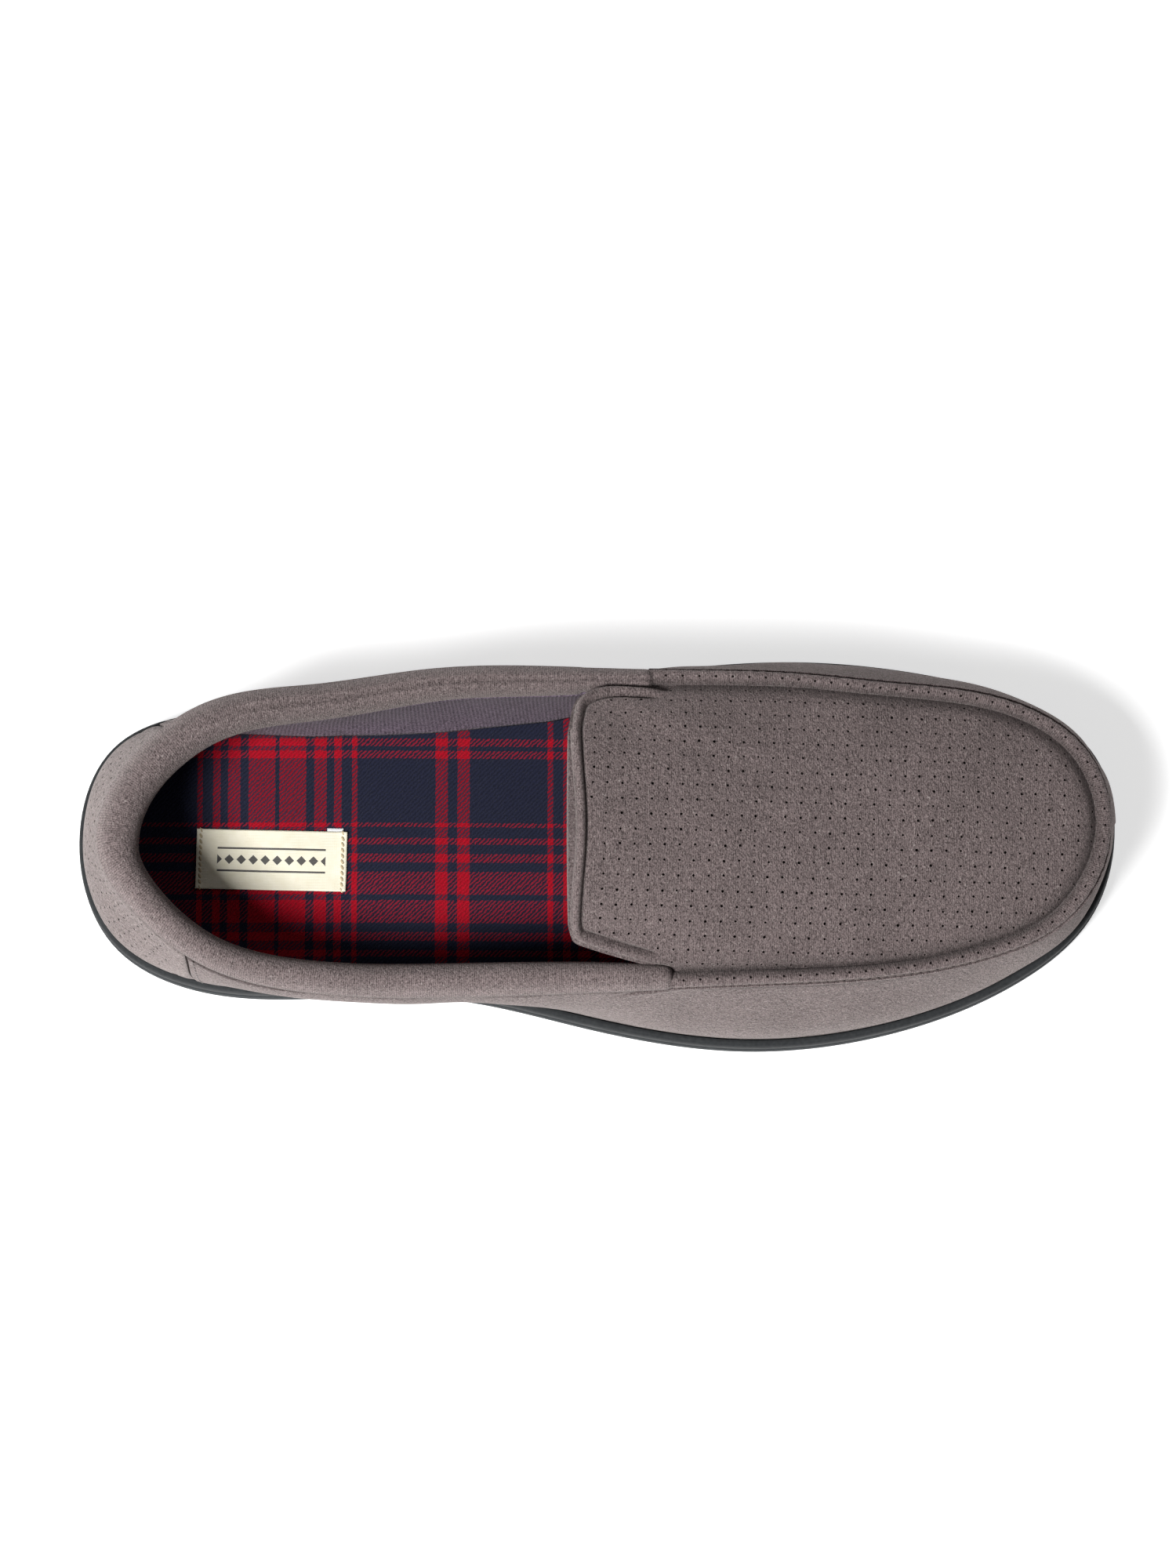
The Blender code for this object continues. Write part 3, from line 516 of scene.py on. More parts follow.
def ribs(tree, along, pitch):
    """A wave between -1 and 1 that comes again at every pitch."""
    return maths(tree, "SINE", maths(tree, "MULTIPLY", along, 2.0 * math.pi / pitch))


def stretched(tree, vector, scale):
    """Coordinates scaled by a vector."""
    return add(tree, "ShaderNodeMapping", {"Vector": vector, "Scale": scale}).outputs["Vector"]


def mixed(tree, factor, a, b):
    """Two colours mixed by a factor."""
    made = add(tree, "ShaderNodeMix", data_type="RGBA")
    for socket, value in ((made.inputs[0], factor), (made.inputs[6], a), (made.inputs[7], b)):
        if isinstance(value, bpy.types.NodeSocket):
            tree.links.new(value, socket)
        else:
            socket.default_value = value
    return made.outputs[2]


def ramp(tree, factor, stops, interpolation="LINEAR"):
    """A colour ramp through stops of (place, grey value or colour)."""
    made = add(tree, "ShaderNodeValToRGB", {"Fac": factor})
    band = made.color_ramp
    band.interpolation = interpolation
    while len(band.elements) < len(stops):
        band.elements.new(1.0)
    for element, (place, value) in zip(band.elements, stops):
        element.position = place
        element.color = (value, value, value, 1.0) if isinstance(value, float) else value
    return made.outputs["Color"]


def bumped(tree, heights, strength=1.0):
    """A chain of Bump nodes over (height, depth in metres) pairs."""
    normal = None
    for height, depth in heights:
        sockets = {"Height": height, "Distance": depth, "Strength": strength}
        if normal is not None:
            sockets["Normal"] = normal
        normal = add(tree, "ShaderNodeBump", sockets).outputs["Normal"]
    return normal


def new_material(name, sockets):
    """A Principled material with constant values on its shader; gives the material, tree and shader."""
    made = bpy.data.materials.new(name)
    made.use_nodes = True
    shader = made.node_tree.nodes["Principled BSDF"]
    for key, value in sockets.items():
        shader.inputs[key].default_value = value
    return made, made.node_tree, shader


def finish_look(tree, shader, colour, heights, strength=1.0):
    """Give a shader its colour and the bumps of its surface."""
    tree.links.new(colour, shader.inputs["Base Color"])
    tree.links.new(bumped(tree, heights, strength), shader.inputs["Normal"])


def srgb(red, green, blue):
    """A colour from 0 to 255 in sRGB, as Blender's linear values."""
    shares = [value / 255.0 for value in (red, green, blue)]
    return (*(((v + 0.055) / 1.055) ** 2.4 if v > 0.04 else v / 12.92 for v in shares), 1.0)


# %% [markdown]
# ## Microsuede
# Microsuede is a knit of very fine fibres, brushed so that the ends stand up. Close to, it is a
# mottle of pale and dark fibre ends about half a millimetre across, a little longer along the nap.
# From a low angle the ends catch light, which the shader's sheen gives. Four noises make the mottle,
# its flecks, a painted highlight of lit fibre tips and the slow patches where a hand has turned the
# nap, and three of them also bump the surface a little, which breaks up the light. A shade mark on
# each piece darkens its folds, seams and overhangs with painted shade, and where the mark is below
# zero it gives a painted highlight.


# %% Suede
# Colour of the painted highlight on fibre tips that catch the light
TIP_HIGHLIGHT = srgb(186, 176, 172)
NAP = {"Roughness": 0.92, "Sheen Weight": 0.35, "Sheen Roughness": 0.45, "Specular IOR Level": 0.12}
NAP |= {"Sheen Tint": srgb(226, 218, 214)}
CORD_PITCH = 0.00060
# Noise scales of the fibres, their flecks, their lit tips and the slow patches of turned nap
FIBRES, FLECKS, TIPS, PATCHES = 2700.0, 1200.0, 2000.0, 55.0


def suede(name, dark, light, grain_stretch=(1.0, 0.7, 0.7), cord=0.0, cord_map="Object"):
    """Brushed microsuede between two colours, its nap stretched along the shoe's own axes."""
    made, tree, shader = new_material(name, NAP)
    place = coordinate(tree)
    nap_place = stretched(tree, place, grain_stretch)
    fibres = noise(tree, nap_place, FIBRES, 3.0, 0.7)
    flecks = noise(tree, nap_place, FLECKS, 2.0, 0.6)
    patches = noise(tree, place, PATCHES, 2.0, 0.5)
    grain = maths(tree, "MULTIPLY_ADD", fibres, 0.80, maths(tree, "MULTIPLY", flecks, 0.20))
    spread = maths(tree, "MULTIPLY_ADD", grain, 3.3, -1.15, clamp=True)
    if cord:
        along = axes_of(tree, coordinate(tree, cord_map))["X"]
        wander = maths(tree, "MULTIPLY", flecks, 3.0)
        turns = maths(tree, "MULTIPLY_ADD", along, 2.0 * math.pi / CORD_PITCH, wander)
        columns = maths(tree, "SINE", turns)
        spread = maths(tree, "MULTIPLY_ADD", columns, cord, spread, clamp=True)
    # Pale flecks where a fine noise peaks: a painted highlight of lit fibre tips
    tips = noise(tree, stretched(tree, place, (1.0, 0.6, 0.7)), TIPS, 1.0, 0.5)
    lit = maths(tree, "MULTIPLY_ADD", tips, 9.0, -5.9, clamp=True)
    fine = mixed(tree, maths(tree, "MULTIPLY", lit, 0.60), mixed(tree, spread, dark, light), TIP_HIGHLIGHT)
    # The piece's shade mark is painted shade above zero and a painted highlight below zero; nap is the
    # turned-nap patches times it
    painted_light_and_shade = add(tree, "ShaderNodeAttribute", attribute_name="shade").outputs["Fac"]
    worn = maths(tree, "MULTIPLY_ADD", patches, 0.36, 0.80)
    nap = maths(tree, "MULTIPLY", worn, maths(tree, "MULTIPLY_ADD", painted_light_and_shade, -0.62, 1.0))
    colour = add(tree, "ShaderNodeMix", data_type="RGBA", blend_type="MULTIPLY")
    colour.inputs[0].default_value = 1.0
    tree.links.new(fine, colour.inputs[6])
    tree.links.new(nap, colour.inputs[7])
    heights = [(fibres, 0.00040), (flecks, 0.00055), (tips, 0.00030)]
    finish_look(tree, shader, colour.outputs[2], heights, 0.85)
    return made


plug_suede = suede("plug_suede", srgb(60, 51, 51), srgb(150, 135, 134), cord=0.08)
wall_suede = suede("wall_suede", srgb(66, 57, 57), srgb(145, 131, 130), grain_stretch=(0.8, 0.8, 0.5))
collar_suede = suede("collar_suede", srgb(62, 53, 53), srgb(154, 139, 138), cord=0.14, cord_map="UV")
counter_suede = suede("counter_suede", srgb(76, 67, 67), srgb(162, 149, 147), grain_stretch=(0.7, 0.7, 0.5))

pit_shadow, pit_tree, pit_shader = new_material("pit_shadow", {"Roughness": 1.0, "Specular IOR Level": 0.0})
pit_grain = noise(pit_tree, coordinate(pit_tree), 3000.0)
pit_colour = mixed(pit_tree, pit_grain, srgb(22, 19, 19), srgb(46, 40, 39))
pit_tree.links.new(pit_colour, pit_shader.inputs["Base Color"])

# %% [markdown]
# ## Plaid flannel
# The footbed's cloth is a twill woven in a plaid: the same order of red and navy threads runs along
# and across, mirrored about two pivots. Each half repeat is a short table of stripe widths in
# millimetres. A twill shows its warp on one diagonal and its weft on the next, so where both are red
# the cloth is bright, and where they differ fine diagonal lines mix the two.

# %% Plaid
# Stripe widths in millimetres, navy and red in turn, the first and the last of them navy
STRIPES_ALONG = [0.45, 7.6, 2.25, 3.6, 2.0, 2.25, 2.9, 1.55, 21.95, 3.6, 1.4]
STRIPES_ACROSS = [0.7, 6.5, 2.7, 2.35, 2.7, 1.9, 3.1, 1.1, 18.3, 2.15, 0.8]
PIVOT_ALONG = -0.0905
PIVOT_ACROSS = -0.0131
TWILL_PITCH = 0.00130


def stripe_mask(tree, coordinate, pivot, stripes):
    """1 where the thread at this coordinate is red, with the order mirrored at both ends."""
    half = sum(stripes) / 1000.0
    folded = maths(tree, "PINGPONG", maths(tree, "SUBTRACT", coordinate, pivot), half)
    share = maths(tree, "DIVIDE", folded, half)
    starts = np.cumsum([0.0, *stripes[:-1]]) / sum(stripes)
    stops = [(start, float(k % 2)) for k, start in enumerate(starts.tolist())]
    return ramp(tree, share, stops, "CONSTANT")


def plaid():
    """Brushed twill in a mirrored red and navy plaid."""
    nap = {"Roughness": 0.95, "Sheen Weight": 0.12, "Sheen Roughness": 0.5, "Specular IOR Level": 0.1}
    made, tree, shader = new_material("plaid_flannel", nap)
    place = coordinate(tree)
    wander = noise(tree, place, 900.0, 2.0)
    shift = maths(tree, "MULTIPLY_ADD", wander, 0.0006, -0.0003)
    axes = axes_of(tree, place)
    along = maths(tree, "ADD", axes["X"], shift)
    across = maths(tree, "ADD", axes["Y"], shift)
    warp = stripe_mask(tree, along, PIVOT_ALONG, STRIPES_ALONG)
    weft = stripe_mask(tree, across, PIVOT_ACROSS, STRIPES_ACROSS)
    diagonal = maths(tree, "DIVIDE", maths(tree, "SUBTRACT", axes["X"], axes["Y"]), TWILL_PITCH)
    twill = ribs(tree, maths(tree, "ADD", diagonal, wander), 1.0)
    shown = maths(tree, "MULTIPLY_ADD", twill, 0.36, 0.42, clamp=True)
    red_share = add(tree, "ShaderNodeMix", data_type="FLOAT")
    tree.links.new(shown, red_share.inputs[0])
    tree.links.new(warp, red_share.inputs[2])
    tree.links.new(weft, red_share.inputs[3])
    fuzz = noise(tree, place, 2600.0, 3.0, 0.7)
    shine = maths(tree, "MULTIPLY_ADD", twill, 0.16, fuzz, clamp=True)
    navy = mixed(tree, shine, srgb(12, 14, 26), srgb(45, 48, 71))
    red = mixed(tree, shine, srgb(110, 3, 18), srgb(206, 13, 42))
    colour = mixed(tree, maths(tree, "POWER", red_share.outputs[0], 1.9), navy, red)
    finish_look(tree, shader, colour, [(twill, 0.00012), (fuzz, 0.00030)], 0.8)
    return made


plaid_flannel = plaid()
print("half repeats: %.1f and %.1f mm" % (sum(STRIPES_ALONG), sum(STRIPES_ACROSS)))

# %% [markdown]
# ## Lining, rubber, label and thread
# The lining is a ribbed knit, so its ribs follow the piece's own UV map and not the room. The sole is
# moulded rubber: an almost smooth rim band over a pebbled lower band, told apart by an attribute that
# the sole's mesh carries. The label is a cream satin ribbon, and the threads are slightly glossy.


# %% Lining, rubber, label and thread
RIB_PITCH = 0.00108
LOOP_PITCH = 0.8 * RIB_PITCH
# The label's woven threads, its lozenges, the two rules beside them and the half length they fill
WEFT_PITCH = 0.00045
WARP_PITCH = 0.00038
LOZENGE_PITCH = 0.0034
RULE_PLACE = 0.0032
RULE_HALF = 0.00028
MOTIF_REACH = 0.0153


def lining():
    """Lilac-grey ribbed knit."""
    knit = {"Roughness": 0.95, "Sheen Weight": 0.08, "Specular IOR Level": 0.1}
    made, tree, shader = new_material("rib_lining", knit)
    axes = axes_of(tree, coordinate(tree, "UV"))
    fuzz = noise(tree, coordinate(tree), 1900.0, 3.0, 0.65)
    rib = ribs(tree, axes["X"], RIB_PITCH)
    weave = maths(tree, "MULTIPLY_ADD", ribs(tree, axes["Y"], LOOP_PITCH), 0.3, rib)
    spread = maths(tree, "MULTIPLY_ADD", fuzz, 2.8, -0.9)
    spread = maths(tree, "MULTIPLY_ADD", weave, 0.14, spread, clamp=True)
    colour = mixed(tree, spread, srgb(52, 42, 54), srgb(132, 117, 132))
    finish_look(tree, shader, colour, [(weave, 0.00005), (fuzz, 0.00040)], 0.8)
    return made


def rubber():
    """Dark moulded rubber, pebbled where the mesh's attribute says."""
    made, tree, shader = new_material("moulded_rubber", {"Specular IOR Level": 0.22})
    place = coordinate(tree)
    pebbled = add(tree, "ShaderNodeAttribute", attribute_name="pebble").outputs["Fac"]
    pebbles = add(tree, "ShaderNodeTexVoronoi", {"Vector": place, "Scale": 850.0}).outputs["Distance"]
    haze = noise(tree, place, 900.0, 3.0, 0.6)
    smudge = noise(tree, place, 90.0, 2.0)
    grain = maths(tree, "MULTIPLY", pebbles, pebbled)
    dust = maths(tree, "MULTIPLY_ADD", pebbled, 0.5, maths(tree, "MULTIPLY", haze, 0.5), clamp=True)
    colour = mixed(tree, dust, srgb(25, 27, 29), srgb(80, 83, 85))
    roughness = maths(tree, "MULTIPLY_ADD", pebbled, 0.22, maths(tree, "MULTIPLY_ADD", smudge, 0.25, 0.58))
    tree.links.new(roughness, shader.inputs["Roughness"])
    finish_look(tree, shader, colour, [(grain, 0.00045), (haze, 0.00010)], 0.8)
    return made


def satin():
    """Cream woven ribbon with a plain woven motif: two fine rules and a row of lozenges."""
    made, tree, shader = new_material("cream_satin", {"Roughness": 0.55, "Sheen Weight": 0.15})
    axes = axes_of(tree, coordinate(tree, "UV"))
    across = ribs(tree, axes["Y"], WEFT_PITCH)
    weave = maths(tree, "MULTIPLY_ADD", ribs(tree, axes["X"], WARP_PITCH), 0.5, across)
    patches = noise(tree, coordinate(tree), 400.0, 3.0)
    spread = maths(tree, "MULTIPLY_ADD", weave, 0.10, patches, clamp=True)
    cloth = mixed(tree, spread, srgb(236, 228, 200), srgb(252, 247, 228))
    from_middle = maths(tree, "ABSOLUTE", axes["Y"])
    repeat = maths(tree, "FRACT", maths(tree, "DIVIDE", axes["X"], LOZENGE_PITCH))
    lozenge_x = maths(tree, "ABSOLUTE", maths(tree, "SUBTRACT", repeat, 0.5))
    lozenge_y = maths(tree, "DIVIDE", from_middle, LOZENGE_PITCH)
    in_row = maths(tree, "LESS_THAN", maths(tree, "ADD", lozenge_x, lozenge_y), 0.40)
    rule = maths(tree, "ABSOLUTE", maths(tree, "SUBTRACT", from_middle, RULE_PLACE))
    in_rule = maths(tree, "LESS_THAN", rule, RULE_HALF)
    inside = maths(tree, "LESS_THAN", maths(tree, "ABSOLUTE", axes["X"]), MOTIF_REACH)
    inked = maths(tree, "MULTIPLY", maths(tree, "MAXIMUM", in_row, in_rule), inside)
    colour = mixed(tree, maths(tree, "MULTIPLY", inked, 0.95), cloth, srgb(44, 41, 44))
    finish_look(tree, shader, colour, [(weave, 0.00003)], 0.6)
    return made


def thread(name, dark, light):
    """Sewing thread with a fine twist."""
    made, tree, shader = new_material(name, {"Roughness": 0.55, "Sheen Weight": 0.2})
    twist = noise(tree, coordinate(tree), 4000.0, 1.0)
    finish_look(tree, shader, mixed(tree, twist, dark, light), [(twist, 0.00006)])
    return made


rib_lining = lining()
moulded_rubber = rubber()
cream_satin = satin()
taupe_thread = thread("taupe_thread", srgb(70, 60, 58), srgb(132, 120, 116))
pale_thread = thread("pale_thread", srgb(176, 158, 122), srgb(216, 200, 166))
white_tape = thread("white_tape", srgb(206, 208, 210), srgb(240, 241, 242))

# %% [markdown]
# ## Two Geometry Nodes tools
# Punched holes and stitches repeat many times, so they are made by trees and not one by one. The
# first tree lays a grid of punches over a panel through its UV map, so that the rows keep their pitch
# where the cloth curves away. The second sets one small form at every step of a path: a stitch, or a
# punch for a row of holes. Both end as real meshes, with their material set.


# %% Tree helpers
def new_tree(name, inputs):
    """An empty Geometry Nodes tree with its named inputs; gives the tree and the input sockets."""
    tree = bpy.data.node_groups.new(name, "GeometryNodeTree")
    tree.interface.new_socket("Geometry", in_out="INPUT", socket_type="NodeSocketGeometry")
    for label, kind in inputs:
        tree.interface.new_socket(label, in_out="INPUT", socket_type="NodeSocket" + kind)
    tree.interface.new_socket("Geometry", in_out="OUTPUT", socket_type="NodeSocketGeometry")
    return tree, tree.nodes.new("NodeGroupInput").outputs


def close_tree(tree, instances, given):
    """Realize the instances, set their material and end the tree."""
    real = add(tree, "GeometryNodeRealizeInstances", {"Geometry": instances}).outputs["Geometry"]
    coloured = add(tree, "GeometryNodeSetMaterial", {"Geometry": real, "Material": given["Material"]})
    end = tree.nodes.new("NodeGroupOutput")
    tree.links.new(coloured.outputs["Geometry"], end.inputs["Geometry"])
    return tree


def field(tree, kind, attribute):
    """A named attribute of the input mesh."""
    sockets = {"Name": attribute}
    return add(tree, "GeometryNodeInputNamedAttribute", sockets, data_type=kind).outputs["Attribute"]


def stored(tree, geometry, name, kind, value):
    """The geometry with a value kept on its points under a name."""
    sockets = {"Geometry": geometry, "Name": name}
    node = add(tree, "GeometryNodeStoreNamedAttribute", sockets, data_type=kind)
    tree.links.new(value, node.inputs["Value"])
    return node.outputs["Geometry"]


def rotation_to(tree, axis, vector, rotation=None, pivot="AUTO"):
    """A rotation that turns an axis to a vector."""
    sockets = {"Vector": vector}
    if rotation is not None:
        sockets["Rotation"] = rotation
    node = add(tree, "FunctionNodeAlignRotationToVector", sockets, axis=axis, pivot_axis=pivot)
    return node.outputs["Rotation"]


def run_tree(name, source, tree, values):
    """Run a tree on a source object and give the result as a new plain mesh object."""
    worker = new_object(name, source.data.copy())
    nodes = worker.modifiers.new("Nodes", "NODES")
    nodes.node_group = tree
    for item in tree.interface.items_tree:
        if item.in_out == "INPUT" and item.name in values:
            nodes[item.identifier] = values[item.name]
    return apply_modifiers(worker)


# %% The two trees
HOLE = 0.00072
PUNCH_SIDES = 8
PUNCH_STRAY = 0.00014
PUNCH_SIZES = (0.8, 1.15)
PIT_ANGLE = 50.0


def punch_grid_tree():
    """Upright punches in a grid over a UV map measured in metres, away from the panel's margin."""
    inputs = [("Pitch Along", "Float"), ("Pitch Across", "Float"), ("Shear", "Float"), ("Length", "Float")]
    inputs += [("Width", "Float"), ("Middle", "Vector"), ("Hole", "Float"), ("Depth", "Float")]
    inputs += [("Margin", "Float"), ("Seed", "Int"), ("Material", "Material")]
    tree, given = new_tree("punch_grid", inputs)
    along = maths(tree, "FLOOR", maths(tree, "DIVIDE", given["Length"], given["Pitch Along"]))
    across = maths(tree, "FLOOR", maths(tree, "DIVIDE", given["Width"], given["Pitch Across"]))
    sockets = {"Size X": maths(tree, "MULTIPLY", along, given["Pitch Along"])}
    sockets["Size Y"] = maths(tree, "MULTIPLY", across, given["Pitch Across"])
    sockets["Vertices X"] = maths(tree, "ADD", along, 1.0)
    sockets["Vertices Y"] = maths(tree, "ADD", across, 1.0)
    lattice = add(tree, "GeometryNodeMeshGrid", sockets).outputs["Mesh"]
    position = tree.nodes.new("GeometryNodeInputPosition").outputs["Position"]
    row = add(tree, "ShaderNodeSeparateXYZ", {"Vector": position}).outputs["Y"]
    slide = add(tree, "ShaderNodeCombineXYZ", {"X": maths(tree, "MULTIPLY", row, given["Shear"])})
    stray = add(tree, "FunctionNodeRandomValue", {"Seed": given["Seed"]}, data_type="FLOAT_VECTOR")
    stray.inputs[0].default_value = (-PUNCH_STRAY, -PUNCH_STRAY, 0.0)
    stray.inputs[1].default_value = (PUNCH_STRAY, PUNCH_STRAY, 0.0)
    target = position
    for shift in (slide.outputs["Vector"], given["Middle"], stray.outputs[0]):
        target = add(tree, "ShaderNodeVectorMath", {0: target, 1: shift}, operation="ADD").outputs["Vector"]
    chart = field(tree, "FLOAT_VECTOR", "UVMap")
    found = {}
    for label, kind, value in (
        ("place", "FLOAT_VECTOR", position),
        ("normal", "FLOAT_VECTOR", tree.nodes.new("GeometryNodeInputNormal").outputs["Normal"]),
        ("edge", "FLOAT", field(tree, "FLOAT", "edge")),
    ):
        sampler = add(tree, "GeometryNodeSampleUVSurface", data_type=kind)
        tree.links.new(given["Geometry"], sampler.inputs["Mesh"])
        tree.links.new(value, sampler.inputs["Value"])
        tree.links.new(chart, sampler.inputs["UV Map" if "UV Map" in sampler.inputs else "Source UV Map"])
        tree.links.new(target, sampler.inputs["Sample UV"])
        found[label] = sampler.outputs["Value"]
        found["valid"] = sampler.outputs["Is Valid"]
    inside = add(tree, "FunctionNodeCompare", data_type="FLOAT", operation="GREATER_THAN")
    tree.links.new(found["edge"], inside.inputs[0])
    tree.links.new(given["Margin"], inside.inputs[1])
    sockets = {0: inside.outputs[0], 1: found["valid"]}
    outside = add(tree, "FunctionNodeBooleanMath", sockets, operation="NAND")
    turned = stored(tree, lattice, "aim", "FLOAT_VECTOR", found["normal"])
    dropped = stored(tree, turned, "drop", "BOOLEAN", outside.outputs[0])
    sockets = {"Geometry": dropped, "Position": found["place"]}
    seated = add(tree, "GeometryNodeSetPosition", sockets).outputs["Geometry"]
    sockets = {"Geometry": seated, "Selection": field(tree, "BOOLEAN", "drop")}
    rows = add(tree, "GeometryNodeDeleteGeometry", sockets, domain="POINT").outputs["Geometry"]
    sockets = {"Vertices": PUNCH_SIDES, "Radius": maths(tree, "MULTIPLY", given["Hole"], 0.5)}
    sockets["Depth"] = maths(tree, "MULTIPLY", given["Depth"], 2.0)
    punch = add(tree, "GeometryNodeMeshCylinder", sockets).outputs["Mesh"]
    size = add(tree, "FunctionNodeRandomValue", {"Seed": given["Seed"]}, data_type="FLOAT")
    size.inputs[2].default_value, size.inputs[3].default_value = PUNCH_SIZES
    sockets = {"Points": rows, "Instance": punch, "Scale": size.outputs[1]}
    sockets["Rotation"] = rotation_to(tree, "Z", field(tree, "FLOAT_VECTOR", "aim"))
    placed = add(tree, "GeometryNodeInstanceOnPoints", sockets).outputs["Instances"]
    return close_tree(tree, placed, given)


def row_tree():
    """One rounded form of a given size at every step of a path, upright along the path's up vector."""
    inputs = [("Pitch", "Float"), ("Size", "Vector"), ("Yaw", "Float"), ("Material", "Material")]
    tree, given = new_tree("row_on_path", inputs)
    curve = add(tree, "GeometryNodeMeshToCurve", {"Mesh": given["Geometry"]}).outputs["Curve"]
    sockets = {"Curve": curve, "Length": given["Pitch"]}
    steps = add(tree, "GeometryNodeResampleCurve", sockets, mode="LENGTH").outputs["Curve"]
    ahead = tree.nodes.new("GeometryNodeInputTangent").outputs["Tangent"]
    up = field(tree, "FLOAT_VECTOR", "up")
    turned = rotation_to(tree, "Z", up, rotation_to(tree, "X", ahead), "X")
    yaw = add(tree, "ShaderNodeCombineXYZ", {"Z": given["Yaw"]}).outputs["Vector"]
    sockets = {"Rotation": turned, "Rotate By": yaw}
    spun = add(tree, "FunctionNodeRotateRotation", sockets, rotation_space="LOCAL").outputs["Rotation"]
    ball = add(tree, "GeometryNodeMeshUVSphere", {"Segments": 8, "Rings": 5, "Radius": 0.5}).outputs["Mesh"]
    sockets = {"Points": steps, "Instance": ball, "Rotation": spun, "Scale": given["Size"]}
    placed = add(tree, "GeometryNodeInstanceOnPoints", sockets).outputs["Instances"]
    return close_tree(tree, placed, given)


punch_grid = punch_grid_tree()
row_on_path = row_tree()


def path_object(paths):
    """A helper object whose edges are the paths; each path is an array of points and one of up vectors."""
    points, edges, ups = [], [], []
    for line, up in paths:
        first = len(points)
        points += line.tolist()
        ups += up.tolist()
        edges += [(first + i, first + i + 1) for i in range(len(line) - 1)]
    mesh = bpy.data.meshes.new("path")
    mesh.from_pydata(points, edges, [])
    mesh.attributes.new("up", "FLOAT_VECTOR", "POINT").data.foreach_set("vector", np.ravel(ups))
    return bpy.data.objects.new("path", mesh)


def row_of(name, paths, pitch, size, material, yaw=0.0):
    """Small forms in a row along one or more paths."""
    source = path_object(paths)
    values = {"Pitch": pitch, "Size": size, "Yaw": yaw, "Material": material}
    made = run_tree(name, source, row_on_path, values)
    bpy.data.objects.remove(source)
    made.data.shade_smooth()
    return made


def lay_punches(panel, length, width, middle, pitch, shear, depth, margin, seed):
    """Punches in a grid over a panel, which is then removed."""
    values = {"Length": length, "Width": width, "Middle": middle, "Pitch Along": pitch}
    values |= {"Pitch Across": pitch, "Shear": shear, "Hole": HOLE, "Depth": depth, "Margin": margin}
    values |= {"Seed": seed, "Material": pit_shadow}
    punches = run_tree("punches", panel, punch_grid, values)
    print(panel.name, "holes:", len(punches.data.polygons) // (PUNCH_SIDES + 2))
    bpy.data.objects.remove(panel)
    return punches


def punch(piece, cutter):
    """Cut punches out of a closed piece, the walls of the holes in its second material."""
    cutter.data.materials.clear()
    cutter.data.materials.append(piece.data.materials[0])
    cutter.data.materials.append(pit_shadow)
    cutter.data.polygons.foreach_set("material_index", [1] * len(cutter.data.polygons))
    return shade_round(cut_out(piece, cutter, "MANIFOLD"), PIT_ANGLE)


# %% [markdown]
# ## The sole
# The sole is one moulded piece, so it is lofted in rings from its lip, over the banded side, to the
# tread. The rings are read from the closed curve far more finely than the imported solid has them, and
# the same cross grooves are cut under the ball and the heel. An attribute marks the pebbled bands.

# %% Sole
RING_STEPS = 130
GROOVE_WIDTH = 0.0025
GROOVE_DEPTH = 0.0018
GROOVE_PITCH = 0.009
GROOVE_MARGIN = 0.010
SEAT_CUTS = 6
TREAD_CUTS = 24
SOLE_ANGLE = 38.0
# Side of the sole: inset as a share of the lip's width, rise as a share of its height, pebbled or not
SOLE_SIDE = [
    (1.00, 0.98, 0.0), (0.80, 1.00, 0.0), (0.62, 1.00, 0.0), (0.46, 0.985, 0.0), (0.34, 0.95, 0.0),
    (0.26, 0.90, 0.0), (0.22, 0.85, 0.0), (0.19, 0.74, 0.0), (0.18, 0.60, 0.0), (0.24, 0.575, 0.0),
    (0.50, 0.56, 0.0), (0.50, 0.50, 0.0), (0.20, 0.475, 0.3), (0.08, 0.45, 1.0), (0.03, 0.36, 1.0),
    (0.00, 0.25, 1.0), (0.03, 0.15, 1.0), (0.12, 0.07, 1.0), (0.30, 0.02, 1.0), (0.60, 0.00, 1.0),
]


def ring_u(steps):
    """Even steps round the sole from the back of the heel, over the outer side and the toe."""
    toe = ALL_U[int(np.argmax(SHAPE[:, 0]))]
    heel = ALL_U[int(np.argmin(SHAPE[:, 0]))]
    outer = np.linspace(heel - (heel > 0.5), toe, steps + 1)
    inner = np.linspace(toe, heel + (heel < 0.5), steps + 1)
    return np.concatenate((outer, inner[1:-1]))


def cap_rows(ring, cuts):
    """Rows of points across a ring that close it, from its first point to the one halfway round."""
    half = len(ring) // 2
    share = np.linspace(0.0, 1.0, cuts + 1)[None, :, None]
    left, right = ring[: half + 1], np.roll(ring[::-1], 1, axis=0)[: half + 1]
    return left[:, None, :] * (1.0 - share) + right[:, None, :] * share


def capped_loft(name, rings, caps, material, marks=None):
    """A closed piece through rings of points, with the two caps that fill its first and last ring."""
    points = [np.concatenate(rings)] + [cap.reshape(-1, 3) for cap in caps]
    faces = [grid_faces(len(rings), len(rings[0]), around=True)]
    faces.append(grid_faces(*caps[0].shape[:2])[:, ::-1] + len(points[0]))
    faces.append(grid_faces(*caps[1].shape[:2]) + len(points[0]) + len(points[1]))
    piece = new_piece(name, np.concatenate(points), np.concatenate(faces), [material], None, marks)
    face_outwards(piece)
    return piece


def sole_edges(x):
    """The sole's lateral and medial edge at x."""
    edges = []
    for half in (SHAPE[SHAPE[:, 1] < 0.0], SHAPE[SHAPE[:, 1] >= 0.0]):
        order = np.argsort(half[:, 0])
        edges.append(np.interp(x, half[order, 0], half[order, 1]))
    return edges


